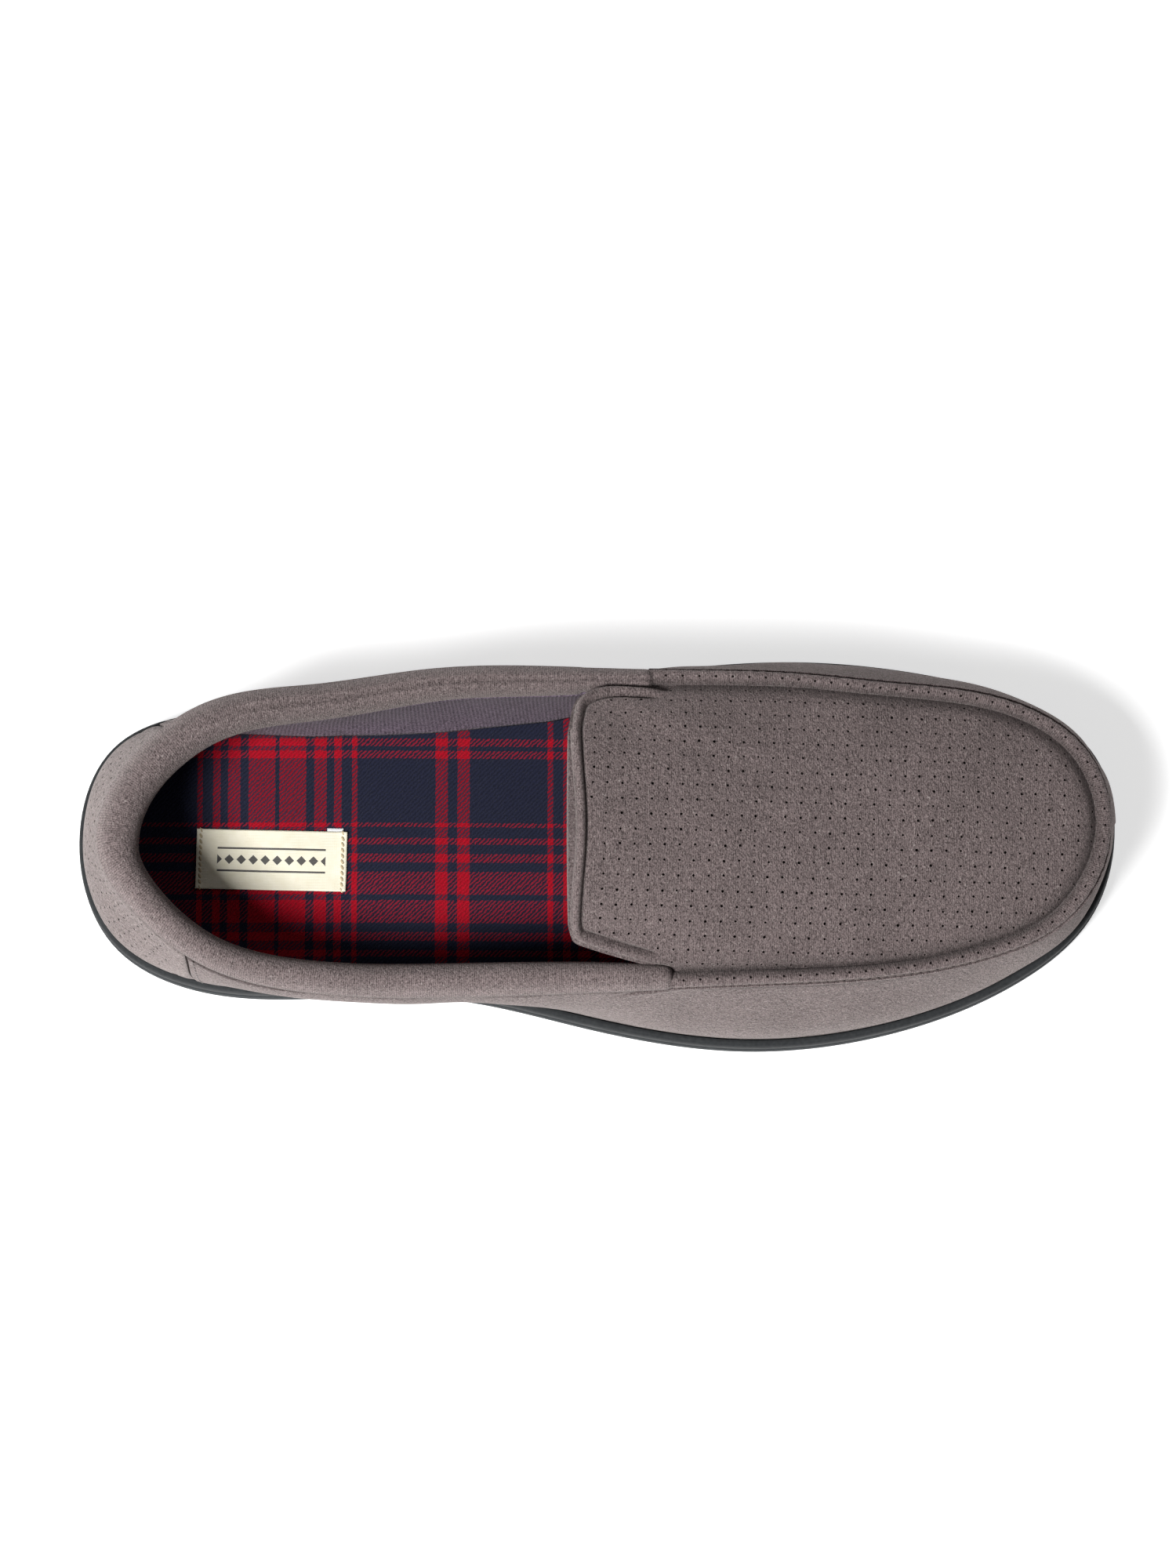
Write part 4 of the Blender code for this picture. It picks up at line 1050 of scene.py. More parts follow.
def groove_bars():
    """The bars that cut the tread's cross grooves, as one object."""
    bm = bmesh.new()
    for back, front in ((ARCH_FRONT, SPRING_START), (HEEL_FLAT, ARCH_BACK)):
        room = (front - back) * LENGTH - 2.0 * GROOVE_WIDTH
        count = int(room / GROOVE_PITCH)
        for k in range(count):
            x = back * LENGTH + GROOVE_WIDTH + (k + 0.5) * room / count
            y0, y1 = sole_edges(x)
            bar = bmesh.ops.create_cube(bm, size=1.0)["verts"]
            size = (GROOVE_WIDTH, y1 - y0 - 2.0 * GROOVE_MARGIN, 2.0 * GROOVE_DEPTH)
            bmesh.ops.scale(bm, vec=size, verts=bar)
            bmesh.ops.translate(bm, vec=(x, (y0 + y1) / 2.0, 0.0), verts=bar)
    mesh = bpy.data.meshes.new("groove_bars")
    bm.to_mesh(mesh)
    bm.free()
    return new_object("groove_bars", mesh)


def make_sole():
    """The rubber sole as one closed loft with its grooves cut."""
    u = ring_u(RING_STEPS)
    plan, normal = shape(u)[:, 0:2], outward(u, 0)
    top = plan - LIP_WIDTH * normal
    rings = [np.column_stack((top, lip_top(top[:, 0]) - LIP_HEIGHT))]
    for inset, rise, _ in SOLE_SIDE:
        at = plan - inset * LIP_WIDTH * normal
        low, high = sole_bottom(at[:, 0]), lip_top(at[:, 0])
        rings.append(np.column_stack((at, low + rise * (high - low))))
    seat = cap_rows(rings[0], SEAT_CUTS)
    seat[..., 2] = lip_top(seat[..., 0]) - LIP_HEIGHT
    tread = cap_rows(rings[-1], TREAD_CUTS)
    tread[..., 2] = sole_bottom(tread[..., 0])
    pebble = np.repeat([0.0] + [mark for _, _, mark in SOLE_SIDE], len(u))
    pebble = np.concatenate((pebble, np.zeros(seat.size // 3), np.ones(tread.size // 3)))
    piece = capped_loft("rubber_sole", rings, (seat, tread), moulded_rubber, {"pebble": pebble})
    return cut_out(piece, groove_bars(), "EXACT")


rubber_sole = shade_round(make_sole(), SOLE_ANGLE)
dress(rubber_sole, "outsole", "outsole")

# %% [markdown]
# ## The footbed
# The footbed is foam under flannel: a flat underside, a rounded shoulder and a top that the foot has
# dished a little. It is lofted like the sole, and slow waves of a quarter of a millimetre keep the
# cloth from looking pressed.

# %% Footbed
INSOLE_INSET = LIP_WIDTH + GAP + WALL + INSOLE_GAP
BASE_CUTS = 4
BED_CUTS = 60
BED_WAVE = 0.034
BED_WAVE_HEIGHT = 0.00025
BED_WAVE_EDGE = 8.0
# Edge of the footbed: inset as a share of its thickness, rise as a share of its height
FOOTBED_EDGE = [(0.03, 0.0), (0.0, 0.06), (0.0, 0.45), (0.06, 0.66), (0.20, 0.84), (0.36, 0.95), (0.55, 1.0)]


def footbed_height(x, y):
    """Height of the footbed, dished a little across."""
    y0, y1 = sole_edges(x)
    middle, half = (y0 + y1) / 2.0, np.maximum((y1 - y0) / 2.0 - INSOLE_INSET, 0.001)
    across = np.minimum(np.abs(y - middle) / half, 1.0)
    ends = smooth((LENGTH / 2.0 - np.abs(x)) / INSOLE_DISH_RUN)
    seat = lip_top(x) - LIP_HEIGHT
    return seat + GAP + INSOLE_THICKNESS - INSOLE_DISH * (1.0 - across * across) * ends


def soft_waves(x, y, length, height):
    """Slow unevenness of cloth: three crossed waves of a given length and height."""
    a = np.sin(2.0 * math.pi * (x / length + 0.31 * np.sin(y / length * 1.7)))
    b = np.sin(2.0 * math.pi * (y / length * 0.83 + 0.22 * np.cos(x / length * 1.3)) + 1.1)
    c = np.sin(2.0 * math.pi * ((x + y) / length * 0.47) + 2.3)
    return height * (a + b + c) / 3.0


def make_footbed():
    """Foam footbed under its flannel."""
    u = ring_u(RING_STEPS)
    plan, normal = shape(u)[:, 0:2], outward(u, 0)
    rings = []
    for inset, rise in FOOTBED_EDGE:
        at = plan - (INSOLE_INSET + inset * INSOLE_THICKNESS) * normal
        seat = lip_top(at[:, 0]) - LIP_HEIGHT + GAP
        rings.append(np.column_stack((at, seat + rise * (footbed_height(at[:, 0], at[:, 1]) - seat))))
    base = cap_rows(rings[0], BASE_CUTS)
    base[..., 2] = lip_top(base[..., 0]) - LIP_HEIGHT + GAP
    top = cap_rows(rings[-1], BED_CUTS)
    x, y = top[..., 0], top[..., 1]
    share = np.linspace(0.0, 1.0, BED_CUTS + 1)
    inner = smooth(share * BED_WAVE_EDGE) * smooth((1.0 - share) * BED_WAVE_EDGE)
    top[..., 2] = footbed_height(x, y) + soft_waves(x, y, BED_WAVE, BED_WAVE_HEIGHT) * inner[None, :]
    return capped_loft("plaid_footbed", rings, (base, top), plaid_flannel)


plaid_footbed = make_footbed()
dress(plaid_footbed, "insole", "insole")

# %% [markdown]
# ## The upper
# The upper is one hollow shell: a wall that rises from inside the sole's lip to the rim, joined to the
# vamp and its tongue. A filled form would hide the foot's room, so an open surface is made from the
# closed curve and given its 2.2 mm wall with Solidify. The inner face takes the knit lining. Creases
# are placed along the wall as soft troughs and ridges.

# %% Upper
FORE_COLUMNS = 90
REAR_COLUMNS = 180
WALL_ROWS = 30
RIM_ROWS = 16
WALL_SHARE = 0.88
RIM_SHARE = 0.888
VAMP_CUTS = 44
UPPER_ANGLE = 50.0
SEAM_LEAN = 0.0050
SEAM_SOFTNESS = 0.0006
SEAM_STEP = 0.00025
DART_STEP = 0.0004
WALL_WAVE = 0.031
WALL_WAVE_HEIGHT = 0.00028
# Creases of the wall: name, place along x, side, height share, half height, half width, how far they
# stand out or in, and how far they lean along x from the lip to the rim
Crease = namedtuple("Crease", "name x side height reach width depth lean")
WALL_CREASES = [
    Crease("tuck_line", 0.0125, "lateral", 0.93, 0.038, 0.0024, -0.00080, 0.1300),
    Crease("tuck_lip", 0.0170, "lateral", 0.93, 0.040, 0.0028, 0.00040, 0.1300),
    Crease("flex_front", 0.0520, "lateral", 0.62, 0.34, 0.0050, -0.00035, 0.0040),
    Crease("flex_middle", 0.0380, "lateral", 0.55, 0.36, 0.0055, 0.00035, 0.0030),
    Crease("flex_back", 0.0230, "lateral", 0.58, 0.30, 0.0060, -0.00040, 0.0020),
    Crease("waist_slack", -0.0380, "lateral", 0.60, 0.40, 0.0110, -0.00050, -0.0050),
    Crease("flex_inner", 0.0420, "medial", 0.55, 0.38, 0.0060, -0.00040, 0.0030),
    Crease("flex_inner_back", 0.0240, "medial", 0.55, 0.34, 0.0060, 0.00035, 0.0020),
    Crease("waist_inner", -0.0400, "medial", 0.62, 0.40, 0.0110, -0.00050, -0.0040),
    Crease("toe_pleat", 0.1400, "medial", 0.60, 0.50, 0.0036, 0.00070, 0.0000),
    Crease("toe_tuck", 0.1360, "medial", 0.62, 0.45, 0.0022, -0.00045, 0.0000),
]


def counter_ends():
    """u of the heel counter's medial and lateral edge, the heel lying between them."""
    medial = float(rim_u(COUNTER_MEDIAL, "medial"))
    lateral = float(rim_u(COUNTER_LATERAL, "lateral"))
    return (medial - 1.0 if medial > 0.5 else medial), lateral


def seam_lean(t):
    """How far the counter's lateral seam leans towards the toe at a height share of the wall."""
    return SEAM_LEAN / PERIMETER * (0.95 - np.asarray(t))


def step_out(u, t):
    """How far the quarters stand out beside the heel counter, so that its face lies flush."""
    medial, lateral = counter_ends()
    u = np.asarray(u)[:, None]
    lateral = lateral + seam_lean(t)[None, :]
    away = np.minimum((u - lateral) % 1.0, (medial - u) % 1.0) * PERIMETER
    lift = (COUNTER_THICKNESS + GAP) * (1.0 - smooth(away / COUNTER_BLEND))
    inside = np.minimum(u - medial, lateral - u) * PERIMETER
    return lift * (1.0 - smooth(inside / SEAM_SOFTNESS + 0.5))


def level_out(u):
    """The sole's outward normals as level vectors."""
    return np.column_stack((outward(u, 0), np.zeros(len(u))))


def wall_grid(u, t, lift):
    """Points of the wall's outer face for columns u and steps t from the lip to the rim."""
    row, out = shape(u), level_out(u)
    plan = row[:, 0:2] - out[:, 0:2] * (LIP_WIDTH + GAP)
    start = np.column_stack((plan, lip_top(plan[:, 0]) + GAP))[:, None, :]
    rim, out = row[:, None, 2:5], out[:, None, :]
    height = (rim - start)[..., 2:3] * np.array([0.0, 0.0, 1.0])
    handle = start + out * row[:, None, 5:6] + LOW_REACH * height
    shoulder = rim + out * row[:, None, 6:7] - HIGH_REACH * height
    t = t[None, :, None]
    s = 1.0 - t
    curve = s**3 * start + 3 * s * s * t * handle + 3 * s * t * t * shoulder + t**3 * rim
    return curve + out * (np.reshape(lift, (len(u), -1, 1)) * smooth(t / 0.06))


def creased(points, u, t):
    """Outward moves of the wall from its creases and slow waves, and its painted shade in the folds, under
    the rim and at the foot.
    """
    x = shape(u)[:, 2]
    lateral = np.isin(np.round(u % 1.0 * DENSE).astype(int) % DENSE, LATERAL_HALF)
    move = np.zeros(points.shape[:2])
    beside_collar = smooth((THROAT_LATERAL + 0.002 - x) / 0.004)[:, None]
    move -= 0.0009 * hump(t - 0.972, 0.022) * beside_collar
    # Painted shade: a dark band under the rim, along the foot beside the sole and under the collar's overhang
    shade = 0.85 * hump(t - 0.985, 0.028) + 0.7 * hump(t, 0.05) + 0.5 * hump(t - 0.955, 0.022) * beside_collar
    for c in WALL_CREASES:
        side = lateral if c.side == "lateral" else ~lateral
        offset = x[:, None] - c.x - c.lean * (t[None, :] - c.height)
        form = hump(offset, c.width) * hump(t[None, :] - c.height, c.reach) * side[:, None]
        move += c.depth * form
        # Painted shade in the trough of each inward crease
        shade += np.clip(-c.depth / 0.0010, 0.0, 0.8) * form * (0.0012 / c.width) ** 0.5
    ends = smooth(t / 0.15) * smooth((1.0 - t) / 0.10)
    waves = soft_waves(points[..., 0], points[..., 2] + points[..., 1], WALL_WAVE, WALL_WAVE_HEIGHT)
    return move * smooth(t / 0.1)[None, :] + waves * ends[None, :], np.clip(shade, 0.0, 1.0)


def flap_outline(inset, steps):
    """x, lateral y and medial y down the tongue flap, from its back edge to the throat."""
    lateral, medial = plug_edges(np.array(THROAT_LATERAL), SEAM_WIDTH + inset)
    rows = open_spline(range(len(FLAPS)), FLAPS)(np.linspace(len(FLAPS) - 1.0, 0.0, steps + 1))
    x = THROAT_LATERAL - rows[:, 0] * (FLAP_LENGTH - 0.3 * inset)
    return x, lateral + rows[:, 1] * BALL_WIDTH, medial - rows[:, 2] * BALL_WIDTH


def flap_edges(x, inset):
    """Lateral and medial edge of the flap or the plug at x."""
    rows = flap_outline(inset, 60)
    sides = plug_edges(x, SEAM_WIDTH + inset)
    return [np.where(x < THROAT_LATERAL, np.interp(x, rows[0], rows[k + 1]), sides[k]) for k in (0, 1)]


def fore_places(tip, count):
    """x of the strips over the forefoot, closer towards the tip."""
    return THROAT_LATERAL + (tip - THROAT_LATERAL) * np.sin(np.linspace(0.0, math.pi / 2.0, count + 1))


def make_upper():
    """Wall, vamp and tongue base in one shell with its lining."""
    tip = SHAPE[RIM_TIP, 2]
    places = np.concatenate(([THROAT_MEDIAL], fore_places(tip, FORE_COLUMNS)))
    outer, inner = rim_u(places[1:], "lateral"), rim_u(places[:-1], "medial")
    start = inner[0] - 1.0 if inner[0] > 0.5 else inner[0]
    medial_seam, lateral_seam = counter_ends()
    near_medial = medial_seam + np.arange(-0.0015, 0.0016, SEAM_STEP) / PERIMETER
    near_lateral = lateral_seam + np.arange(-0.0015, 0.0066, SEAM_STEP) / PERIMETER
    near_darts = outer[0] - np.arange(DART_STEP, 0.0200, DART_STEP) / PERIMETER
    seams = np.concatenate((near_medial, near_lateral, near_darts))
    even = np.linspace(start, outer[0], REAR_COLUMNS + 1)[1:-1]
    clear = np.abs(even[:, None] - seams[None, :]).min(axis=1) > 0.4 * (even[1] - even[0])
    rear = np.sort(np.concatenate((even[clear], seams)))
    u = np.concatenate((rear, outer, inner[::-1]))
    low_rows = np.linspace(0.0, WALL_SHARE, WALL_ROWS)
    t = np.concatenate((low_rows, np.linspace(RIM_SHARE, 1.0, RIM_ROWS)))
    wall = wall_grid(u, t, step_out(u, t))
    move, shade = creased(wall, u, t)
    foot = wall[:, 0:1, :].copy()
    foot[..., 2] -= LIP_HEIGHT
    wall = np.concatenate((foot, wall), axis=1)
    rows = wall.shape[1]
    points = [wall.reshape(-1, 3)]
    faces = grid_faces(len(u), rows).tolist()
    last = (len(u) - 1) * rows
    faces += [(last + r, r, r + 1, last + r + 1) for r in range(rows - 1)]
    total = len(points[0])
    strips = []
    share = np.linspace(0.0, 1.0, VAMP_CUTS)
    flap_x, flap_y0, flap_y1 = flap_outline(0.0, 40)
    behind = flap_x < THROAT_MEDIAL - 0.0008
    for x, y0, y1 in zip(flap_x[behind], flap_y0[behind], flap_y1[behind]):
        y = y0 + (y1 - y0) * share
        points.append(vamp_points(np.full_like(y, x), y, 0.0))
        strips.append([None, *range(total, total + VAMP_CUTS), None])
        total += VAMP_CUTS
    for i, x in enumerate(places[:-1]):
        left = (len(rear) + max(i - 1, 0)) * rows + rows - 1
        right = (len(u) - 1 - i) * rows + rows - 1
        rim0, rim1 = points[0][left, 1], points[0][right, 1]
        border = min(SEAM_WIDTH, (rim1 - rim0) / 12.0)
        y0, y1 = (rim0 + border, rim1 - border)
        if border == SEAM_WIDTH:
            y0, y1 = flap_edges(np.array(x), 0.0)
        y = y0 + (y1 - y0) * share
        points.append(vamp_points(np.full_like(y, x), y, 0.0))
        strips.append([left if i > 0 else None, *range(total, total + VAMP_CUTS), right])
        total += VAMP_CUTS
    end = (len(rear) + len(places) - 2) * rows + rows - 1
    strips.append([end] * (VAMP_CUTS + 2))
    for before, after in zip(strips, strips[1:]):
        for j in range(VAMP_CUTS + 1):
            corners = [before[j], after[j], after[j + 1], before[j + 1]]
            if None not in corners:
                faces.append(list(dict.fromkeys(corners)))
    stacked = np.concatenate(points)
    chart = stacked[:, 0:2].copy()
    on_wall = len(u) * rows
    chart[:on_wall, 0] = np.repeat(np.arange(len(u)) * 0.002, rows)
    chart[:on_wall, 1] = np.tile(np.concatenate(([-0.003], t * 0.04)), len(u))
    marks = {"shade": np.zeros(total), "fold": np.zeros(total)}
    marks["shade"][:on_wall] = np.concatenate((shade[:, 0:1], shade), axis=1).ravel()
    marks["fold"][:on_wall] = np.concatenate((0.0 * move[:, 0:1], move), axis=1).ravel()
    piece = new_piece("suede_upper", stacked, faces, [wall_suede, rib_lining], chart, marks)
    return thicken_and_fold(piece, WALL, 1)


suede_upper = shade_round(make_upper(), UPPER_ANGLE)
dress(suede_upper, "upper", "upper")

# %% [markdown]
# ## The lining
# Inside, the knit lining hangs a little free of the wall. On the inner side of the foot it slopes in
# from under the collar and covers the footbed's edge, which is the pale ribbed band that shows beside
# the plaid. It is a thin sheet swept round the inside, with its inset given place by place.

# %% Lining
LINING_FRONT = 0.050
LINING_THICKNESS = 0.0007
# Place along x, how far the lining stands in over the footbed: medial, lateral
LINING_INSETS = [
    (-0.1450, 0.0004, 0.0004),
    (-0.0950, 0.0006, 0.0006),
    (-0.0700, 0.0006, 0.0008),
    (-0.0440, 0.0030, 0.0010),
    (-0.0130, 0.0044, 0.0012),
    (0.0200, 0.0024, 0.0010),
    (0.0500, 0.0008, 0.0008),
]


def collar_width(row):
    """Width free for the collar at each station row."""
    edges = flap_edges(row[:, 2], 0.0)
    room = np.abs(row[:, 3] - np.where(row[:, 3] < 0.0, edges[0], edges[1])) - COLLAR_GAP
    room = room + (COLLAR_GAP + 0.0016) * smooth((row[:, 2] - 0.001) / 0.007)
    room = np.maximum(room, 0.0062)
    width = np.where(row[:, 2] <= THROAT_LATERAL - FLAP_LENGTH, row[:, 7], np.minimum(row[:, 7], room))
    slack = 0.10 * hump(row[:, 2] + 0.080, 0.026) + 0.20 * hump(row[:, 2] + 0.042, 0.027)
    return width * (1.0 - slack * (row[:, 3] > 0.0))


def make_lining():
    """Ribbed lining from under the collar down to the footbed, open at the toe."""
    start = float(rim_u(LINING_FRONT, "medial"))
    end = float(rim_u(LINING_FRONT, "lateral"))
    u = np.linspace(start - 1.0 if start > end else start, end, 260)
    row, rim_out, sole_out = shape(u), outward(u, 2), outward(u, 0)
    x = row[:, 2]
    table = np.array(LINING_INSETS)
    medial = u < float(rim_u(-0.136, "lateral"))
    inset = np.where(medial, np.interp(x, table[:, 0], table[:, 1]), np.interp(x, table[:, 0], table[:, 2]))
    under_collar = smooth((THROAT_MEDIAL + 0.004 - x) / 0.012)
    reach = WALL + LINING_THICKNESS + under_collar * (0.80 * collar_width(row) - WALL)
    height = row[:, 4] + 0.0012 * under_collar - 0.006 * (1.0 - under_collar)
    top = np.column_stack((row[:, 2:4] - rim_out * reach[:, None], height))
    foot_plan = row[:, 0:2] - sole_out * (INSOLE_INSET + 0.0006 + inset)[:, None]
    foot = np.column_stack((foot_plan, footbed_height(foot_plan[:, 0], foot_plan[:, 1]) + 0.0001))
    middle = (top + foot) / 2.0
    middle[:, :2] += sole_out * 0.0035
    s = np.linspace(0.0, 1.0, 26)[None, :, None]
    grid = (1 - s) ** 2 * top[:, None] + 2 * s * (1 - s) * middle[:, None] + s * s * foot[:, None]
    along = np.concatenate(([0.0], np.cumsum(np.linalg.norm(np.diff(grid[:, 12], axis=0), axis=1))))
    down = s[..., 0]
    sag = soft_waves(along[:, None], down * 0.03, 0.023, 0.0006) * np.sin(math.pi * down)
    grid[..., :2] += sole_out[:, None, :] * sag[..., None]
    chart = np.stack(np.broadcast_arrays(along[:, None], down * 0.032), axis=-1)
    piece = new_piece("rib_lining_band", grid, grid_faces(*grid.shape[:2])[:, ::-1], [rib_lining], chart)
    return thicken(piece, LINING_THICKNESS, -1)


rib_lining_band = make_lining()
dress(rib_lining_band, "upper")

# %% [markdown]
# ## The plug and its tongue flap
# The plug is the flat panel over the toes, and behind the throat it runs on into a flap with a bound
# edge. Its form is a height over the vamp: a rounded binding along the free edge, a crease inside it,
# and a dip beside the raised seam. The tree lays the punches over the UV map of the panel's face, and
# a Boolean cuts them out of the closed panel, so every hole has real walls.

# %% Plug
BINDING_WIDTH = 0.0028
BINDING_HEIGHT = 0.0011
CREASE_DEPTH = 0.0010
PLUG_ROWS = 150
FLAP_ROWS = 90
PLUG_CUTS = 150
FLAP_BOW = 0.0014
PLUG_GRID = {"length": 0.170, "width": 0.100, "middle": (0.065, 0.0, 0.0), "pitch": 0.00408}
PLUG_GRID |= {"shear": 0.05, "depth": 0.0011, "margin": 0.0012, "seed": 4}
# Soft forms of the plug: name, x, y, half length, half width, height, turn in degrees
Dent = namedtuple("Dent", "name x y reach width height turn")
PLUG_DENTS = [
    Dent("throat_pull", 0.018, 0.030, 0.020, 0.0042, 0.00115, -22.0),
    Dent("throat_hollow", 0.028, 0.0235, 0.020, 0.0048, -0.00105, -20.0),
    Dent("flex_crease", 0.046, -0.004, 0.030, 0.0060, -0.00045, 82.0),
    Dent("flex_swell", 0.034, -0.006, 0.028, 0.0070, 0.00040, 84.0),
    Dent("toe_swell", 0.104, 0.004, 0.024, 0.0160, 0.00060, 10.0),
    Dent("flap_lift", -0.002, 0.022, 0.012, 0.0080, 0.00060, 70.0),
]


def line_distance(x, y, line):
    """Shortest distance in plan from each point to a line of points."""
    flat = np.stack((np.ravel(x), np.ravel(y)), axis=-1)
    best = np.full(len(flat), 1.0)
    for start in range(0, len(line), 64):
        part = line[start : start + 64]
        away = np.linalg.norm(flat[:, None, :] - part[None, :, :], axis=-1).min(axis=1)
        best = np.minimum(best, away)
    return best.reshape(np.shape(x))


def plug_sheet():
    """x, y grid of the plug from the flap's back edge to the tip, and its free and sewn edge lines."""
    inset = 0.80 * SEAM_WIDTH
    fx, fy0, fy1 = flap_outline(0.8 * (APRON_THICKNESS + APRON_GAP), FLAP_ROWS)
    tip = min(plug_line(side, inset)[:, 0].max() for side in ("lateral", "medial"))
    px = fore_places(tip, PLUG_ROWS)[1:]
    py0, py1 = plug_edges(px, inset)
    x = np.concatenate((fx, px))
    y0, y1 = np.concatenate((fy0, py0)), np.concatenate((fy1, py1))
    narrow = 0.2 * SEAM_WIDTH + 0.8 * (APRON_THICKNESS + APRON_GAP)
    fore = x >= px[0]
    y0 = y0 + fore * narrow * (1.0 - smooth((x - THROAT_LATERAL - 0.0015) / 0.004))
    y1 = y1 - fore * narrow * (1.0 - smooth((x - THROAT_LATERAL - 0.0005) / 0.004))
    even = np.linspace(0.0, 1.0, PLUG_CUTS + 1)
    share = (0.45 * even + 0.55 * (0.5 - 0.5 * np.cos(math.pi * even)))[None, :]
    grid_y = y0[:, None] * (1.0 - share) + y1[:, None] * share
    bow = FLAP_BOW * smooth(1.0 - (x - fx[0]) / 0.026)
    grid_x = x[:, None] + bow[:, None] * np.sin(math.pi * share) ** 2
    back = np.column_stack((grid_x[0], grid_y[0]))
    free = np.concatenate((np.column_stack((fx, fy0))[::-1], back, np.column_stack((fx, fy1))))
    sewn = np.concatenate((np.column_stack((px, py0)), np.column_stack((px, py1))[::-1]))
    return grid_x, grid_y, free, sewn


def plug_relief(x, y, free, sewn):
    """Lift of the plug's underside and face, distance to its nearest edge, and its painted shade beside the
    seam and in the folds.
    """
    to_free, to_sewn = line_distance(x, y, free), line_distance(x, y, sewn)
    bound = smooth((THROAT_LATERAL + 0.001 - x) / 0.008)
    from_crease = to_free - BINDING_WIDTH - 0.0001
    half = BINDING_WIDTH / 2.0
    outer = np.sqrt(np.clip(1.0 - (1.0 - np.clip(to_free / half, 0.0, 1.0)) ** 2, 0.0, 1.0))
    inner = np.cos(0.5 * math.pi * np.clip(to_free / half - 1.0, 0.0, 1.0)) ** 1.4
    full = APRON_THICKNESS + bound * BINDING_HEIGHT
    face = np.where(to_free < half, full * outer, APRON_THICKNESS + bound * BINDING_HEIGHT * inner)
    face -= CREASE_DEPTH * hump(from_crease, 0.00045) * bound
    face -= 0.00125 * hump(to_sewn - 0.0008, 0.0022)
    under = np.zeros_like(face)
    for d in PLUG_DENTS:
        turn = math.radians(d.turn)
        along = (x - d.x) * math.cos(turn) + (y - d.y) * math.sin(turn)
        side = -(x - d.x) * math.sin(turn) + (y - d.y) * math.cos(turn)
        under += d.height * hump(along, d.reach) * hump(side, d.width)
    under += soft_waves(x, y, 0.027, 0.00020)
    edge = np.minimum(to_sewn, to_free - BINDING_WIDTH * (bound > 0.1))
    # Painted shade beside the sewn edge and in the binding's crease
    shade = 0.95 * hump(to_sewn - 0.0006, 0.0011) + 0.72 * hump(from_crease, 0.00042) * bound
    shade += 0.28 * hump(to_sewn - 0.0008, 0.0034)
    lift = APRON_GAP + under
    return lift, lift + np.maximum(face, 0.0001), edge, np.clip(shade, 0.0, 1.0)


def make_plug():
    """The perforated plug and flap; gives the piece and its punches."""
    x, y, free, sewn = plug_sheet()
    under, face, edge, shade = plug_relief(x, y, free, sewn)
    top, low = vamp_points(x, y, face), vamp_points(x, y, under)
    steps = np.linalg.norm(np.diff(vamp_points(x, y, 0.0 * x + APRON_GAP), axis=1), axis=2)
    arc = np.concatenate((np.zeros((len(x), 1)), steps.cumsum(axis=1)), axis=1)
    centre = np.array([np.interp(0.0, row_y, row_arc) for row_y, row_arc in zip(y, arc)])
    chart = np.stack((x, arc - centre[:, None]), axis=-1)
    panel = new_piece("plug_face", top, grid_faces(*x.shape), [plug_suede], chart, {"edge": edge})
    punches = lay_punches(panel, **PLUG_GRID)
    rows, columns = x.shape
    count = rows * columns
    quads = grid_faces(rows, columns)
    index = np.arange(count).reshape(rows, columns)
    rim = np.concatenate((index[0, :-1], index[:-1, -1], index[-1, :0:-1], index[:0:-1, 0]))
    after = np.roll(rim, -1)
    wall = np.stack((rim, after, after + count, rim + count), axis=-1)
    faces = np.concatenate((quads, quads[:, ::-1] + count, wall))
    points = np.concatenate((top.reshape(-1, 3), low.reshape(-1, 3)))
    marks = {"shade": np.concatenate((shade.ravel(), shade.ravel()))}
    piece = new_piece("perforated_plug", points, faces, [plug_suede, pit_shadow], None, marks)
    face_outwards(piece)
    return piece, punches


def vamp_path(line, lift):
    """A line in plan laid over the vamp at a lift, with its up vectors."""
    x, y = line[:, 0], line[:, 1]
    low, high = vamp_points(x, y, np.zeros(len(x))), vamp_points(x, y, np.full(len(x), 0.001))
    up = (high - low) / 0.001
    return low + up * lift, up


perforated_plug, plug_punches = make_plug()
punch(perforated_plug, plug_punches)
dress(perforated_plug, "apron", "apron")

# %% [markdown]
# ## The raised seam
# On the real shoe the upper's edge is folded, laid over the plug and sewn through, which leaves a
# rounded ridge with a fine stitch groove near its outer fold. The ridge is swept along the rim. Its
# cross-section is a table, and the gathering of the cloth is a small ripple along it.

# %% Seam ridge
# Section of the ridge: reach over the seam's width, rise over its height
RIDGE_SECTION = [
    (0.04, 0.00), (-0.06, 0.14), (-0.10, 0.32), (-0.06, 0.50), (0.02, 0.60),
    (0.11, 0.60), (0.17, 0.50), (0.21, 0.40), (0.25, 0.42), (0.28, 0.56),
    (0.33, 0.76), (0.40, 0.91), (0.49, 0.985), (0.58, 1.00), (0.68, 0.97),
    (0.78, 0.88), (0.86, 0.70), (0.93, 0.44), (0.96, 0.20), (0.93, 0.00),
]
RIDGE_STEPS = 640
RIDGE_RISE = 1.40 * SEAM_HEIGHT
RIDGE_UV_ROUND = 0.012
TUBE_END_SHADE = 0.6
NEEDLE_PITCH = 0.0046
NEEDLE_HOLE = (0.0008, 0.0006, 0.0019)


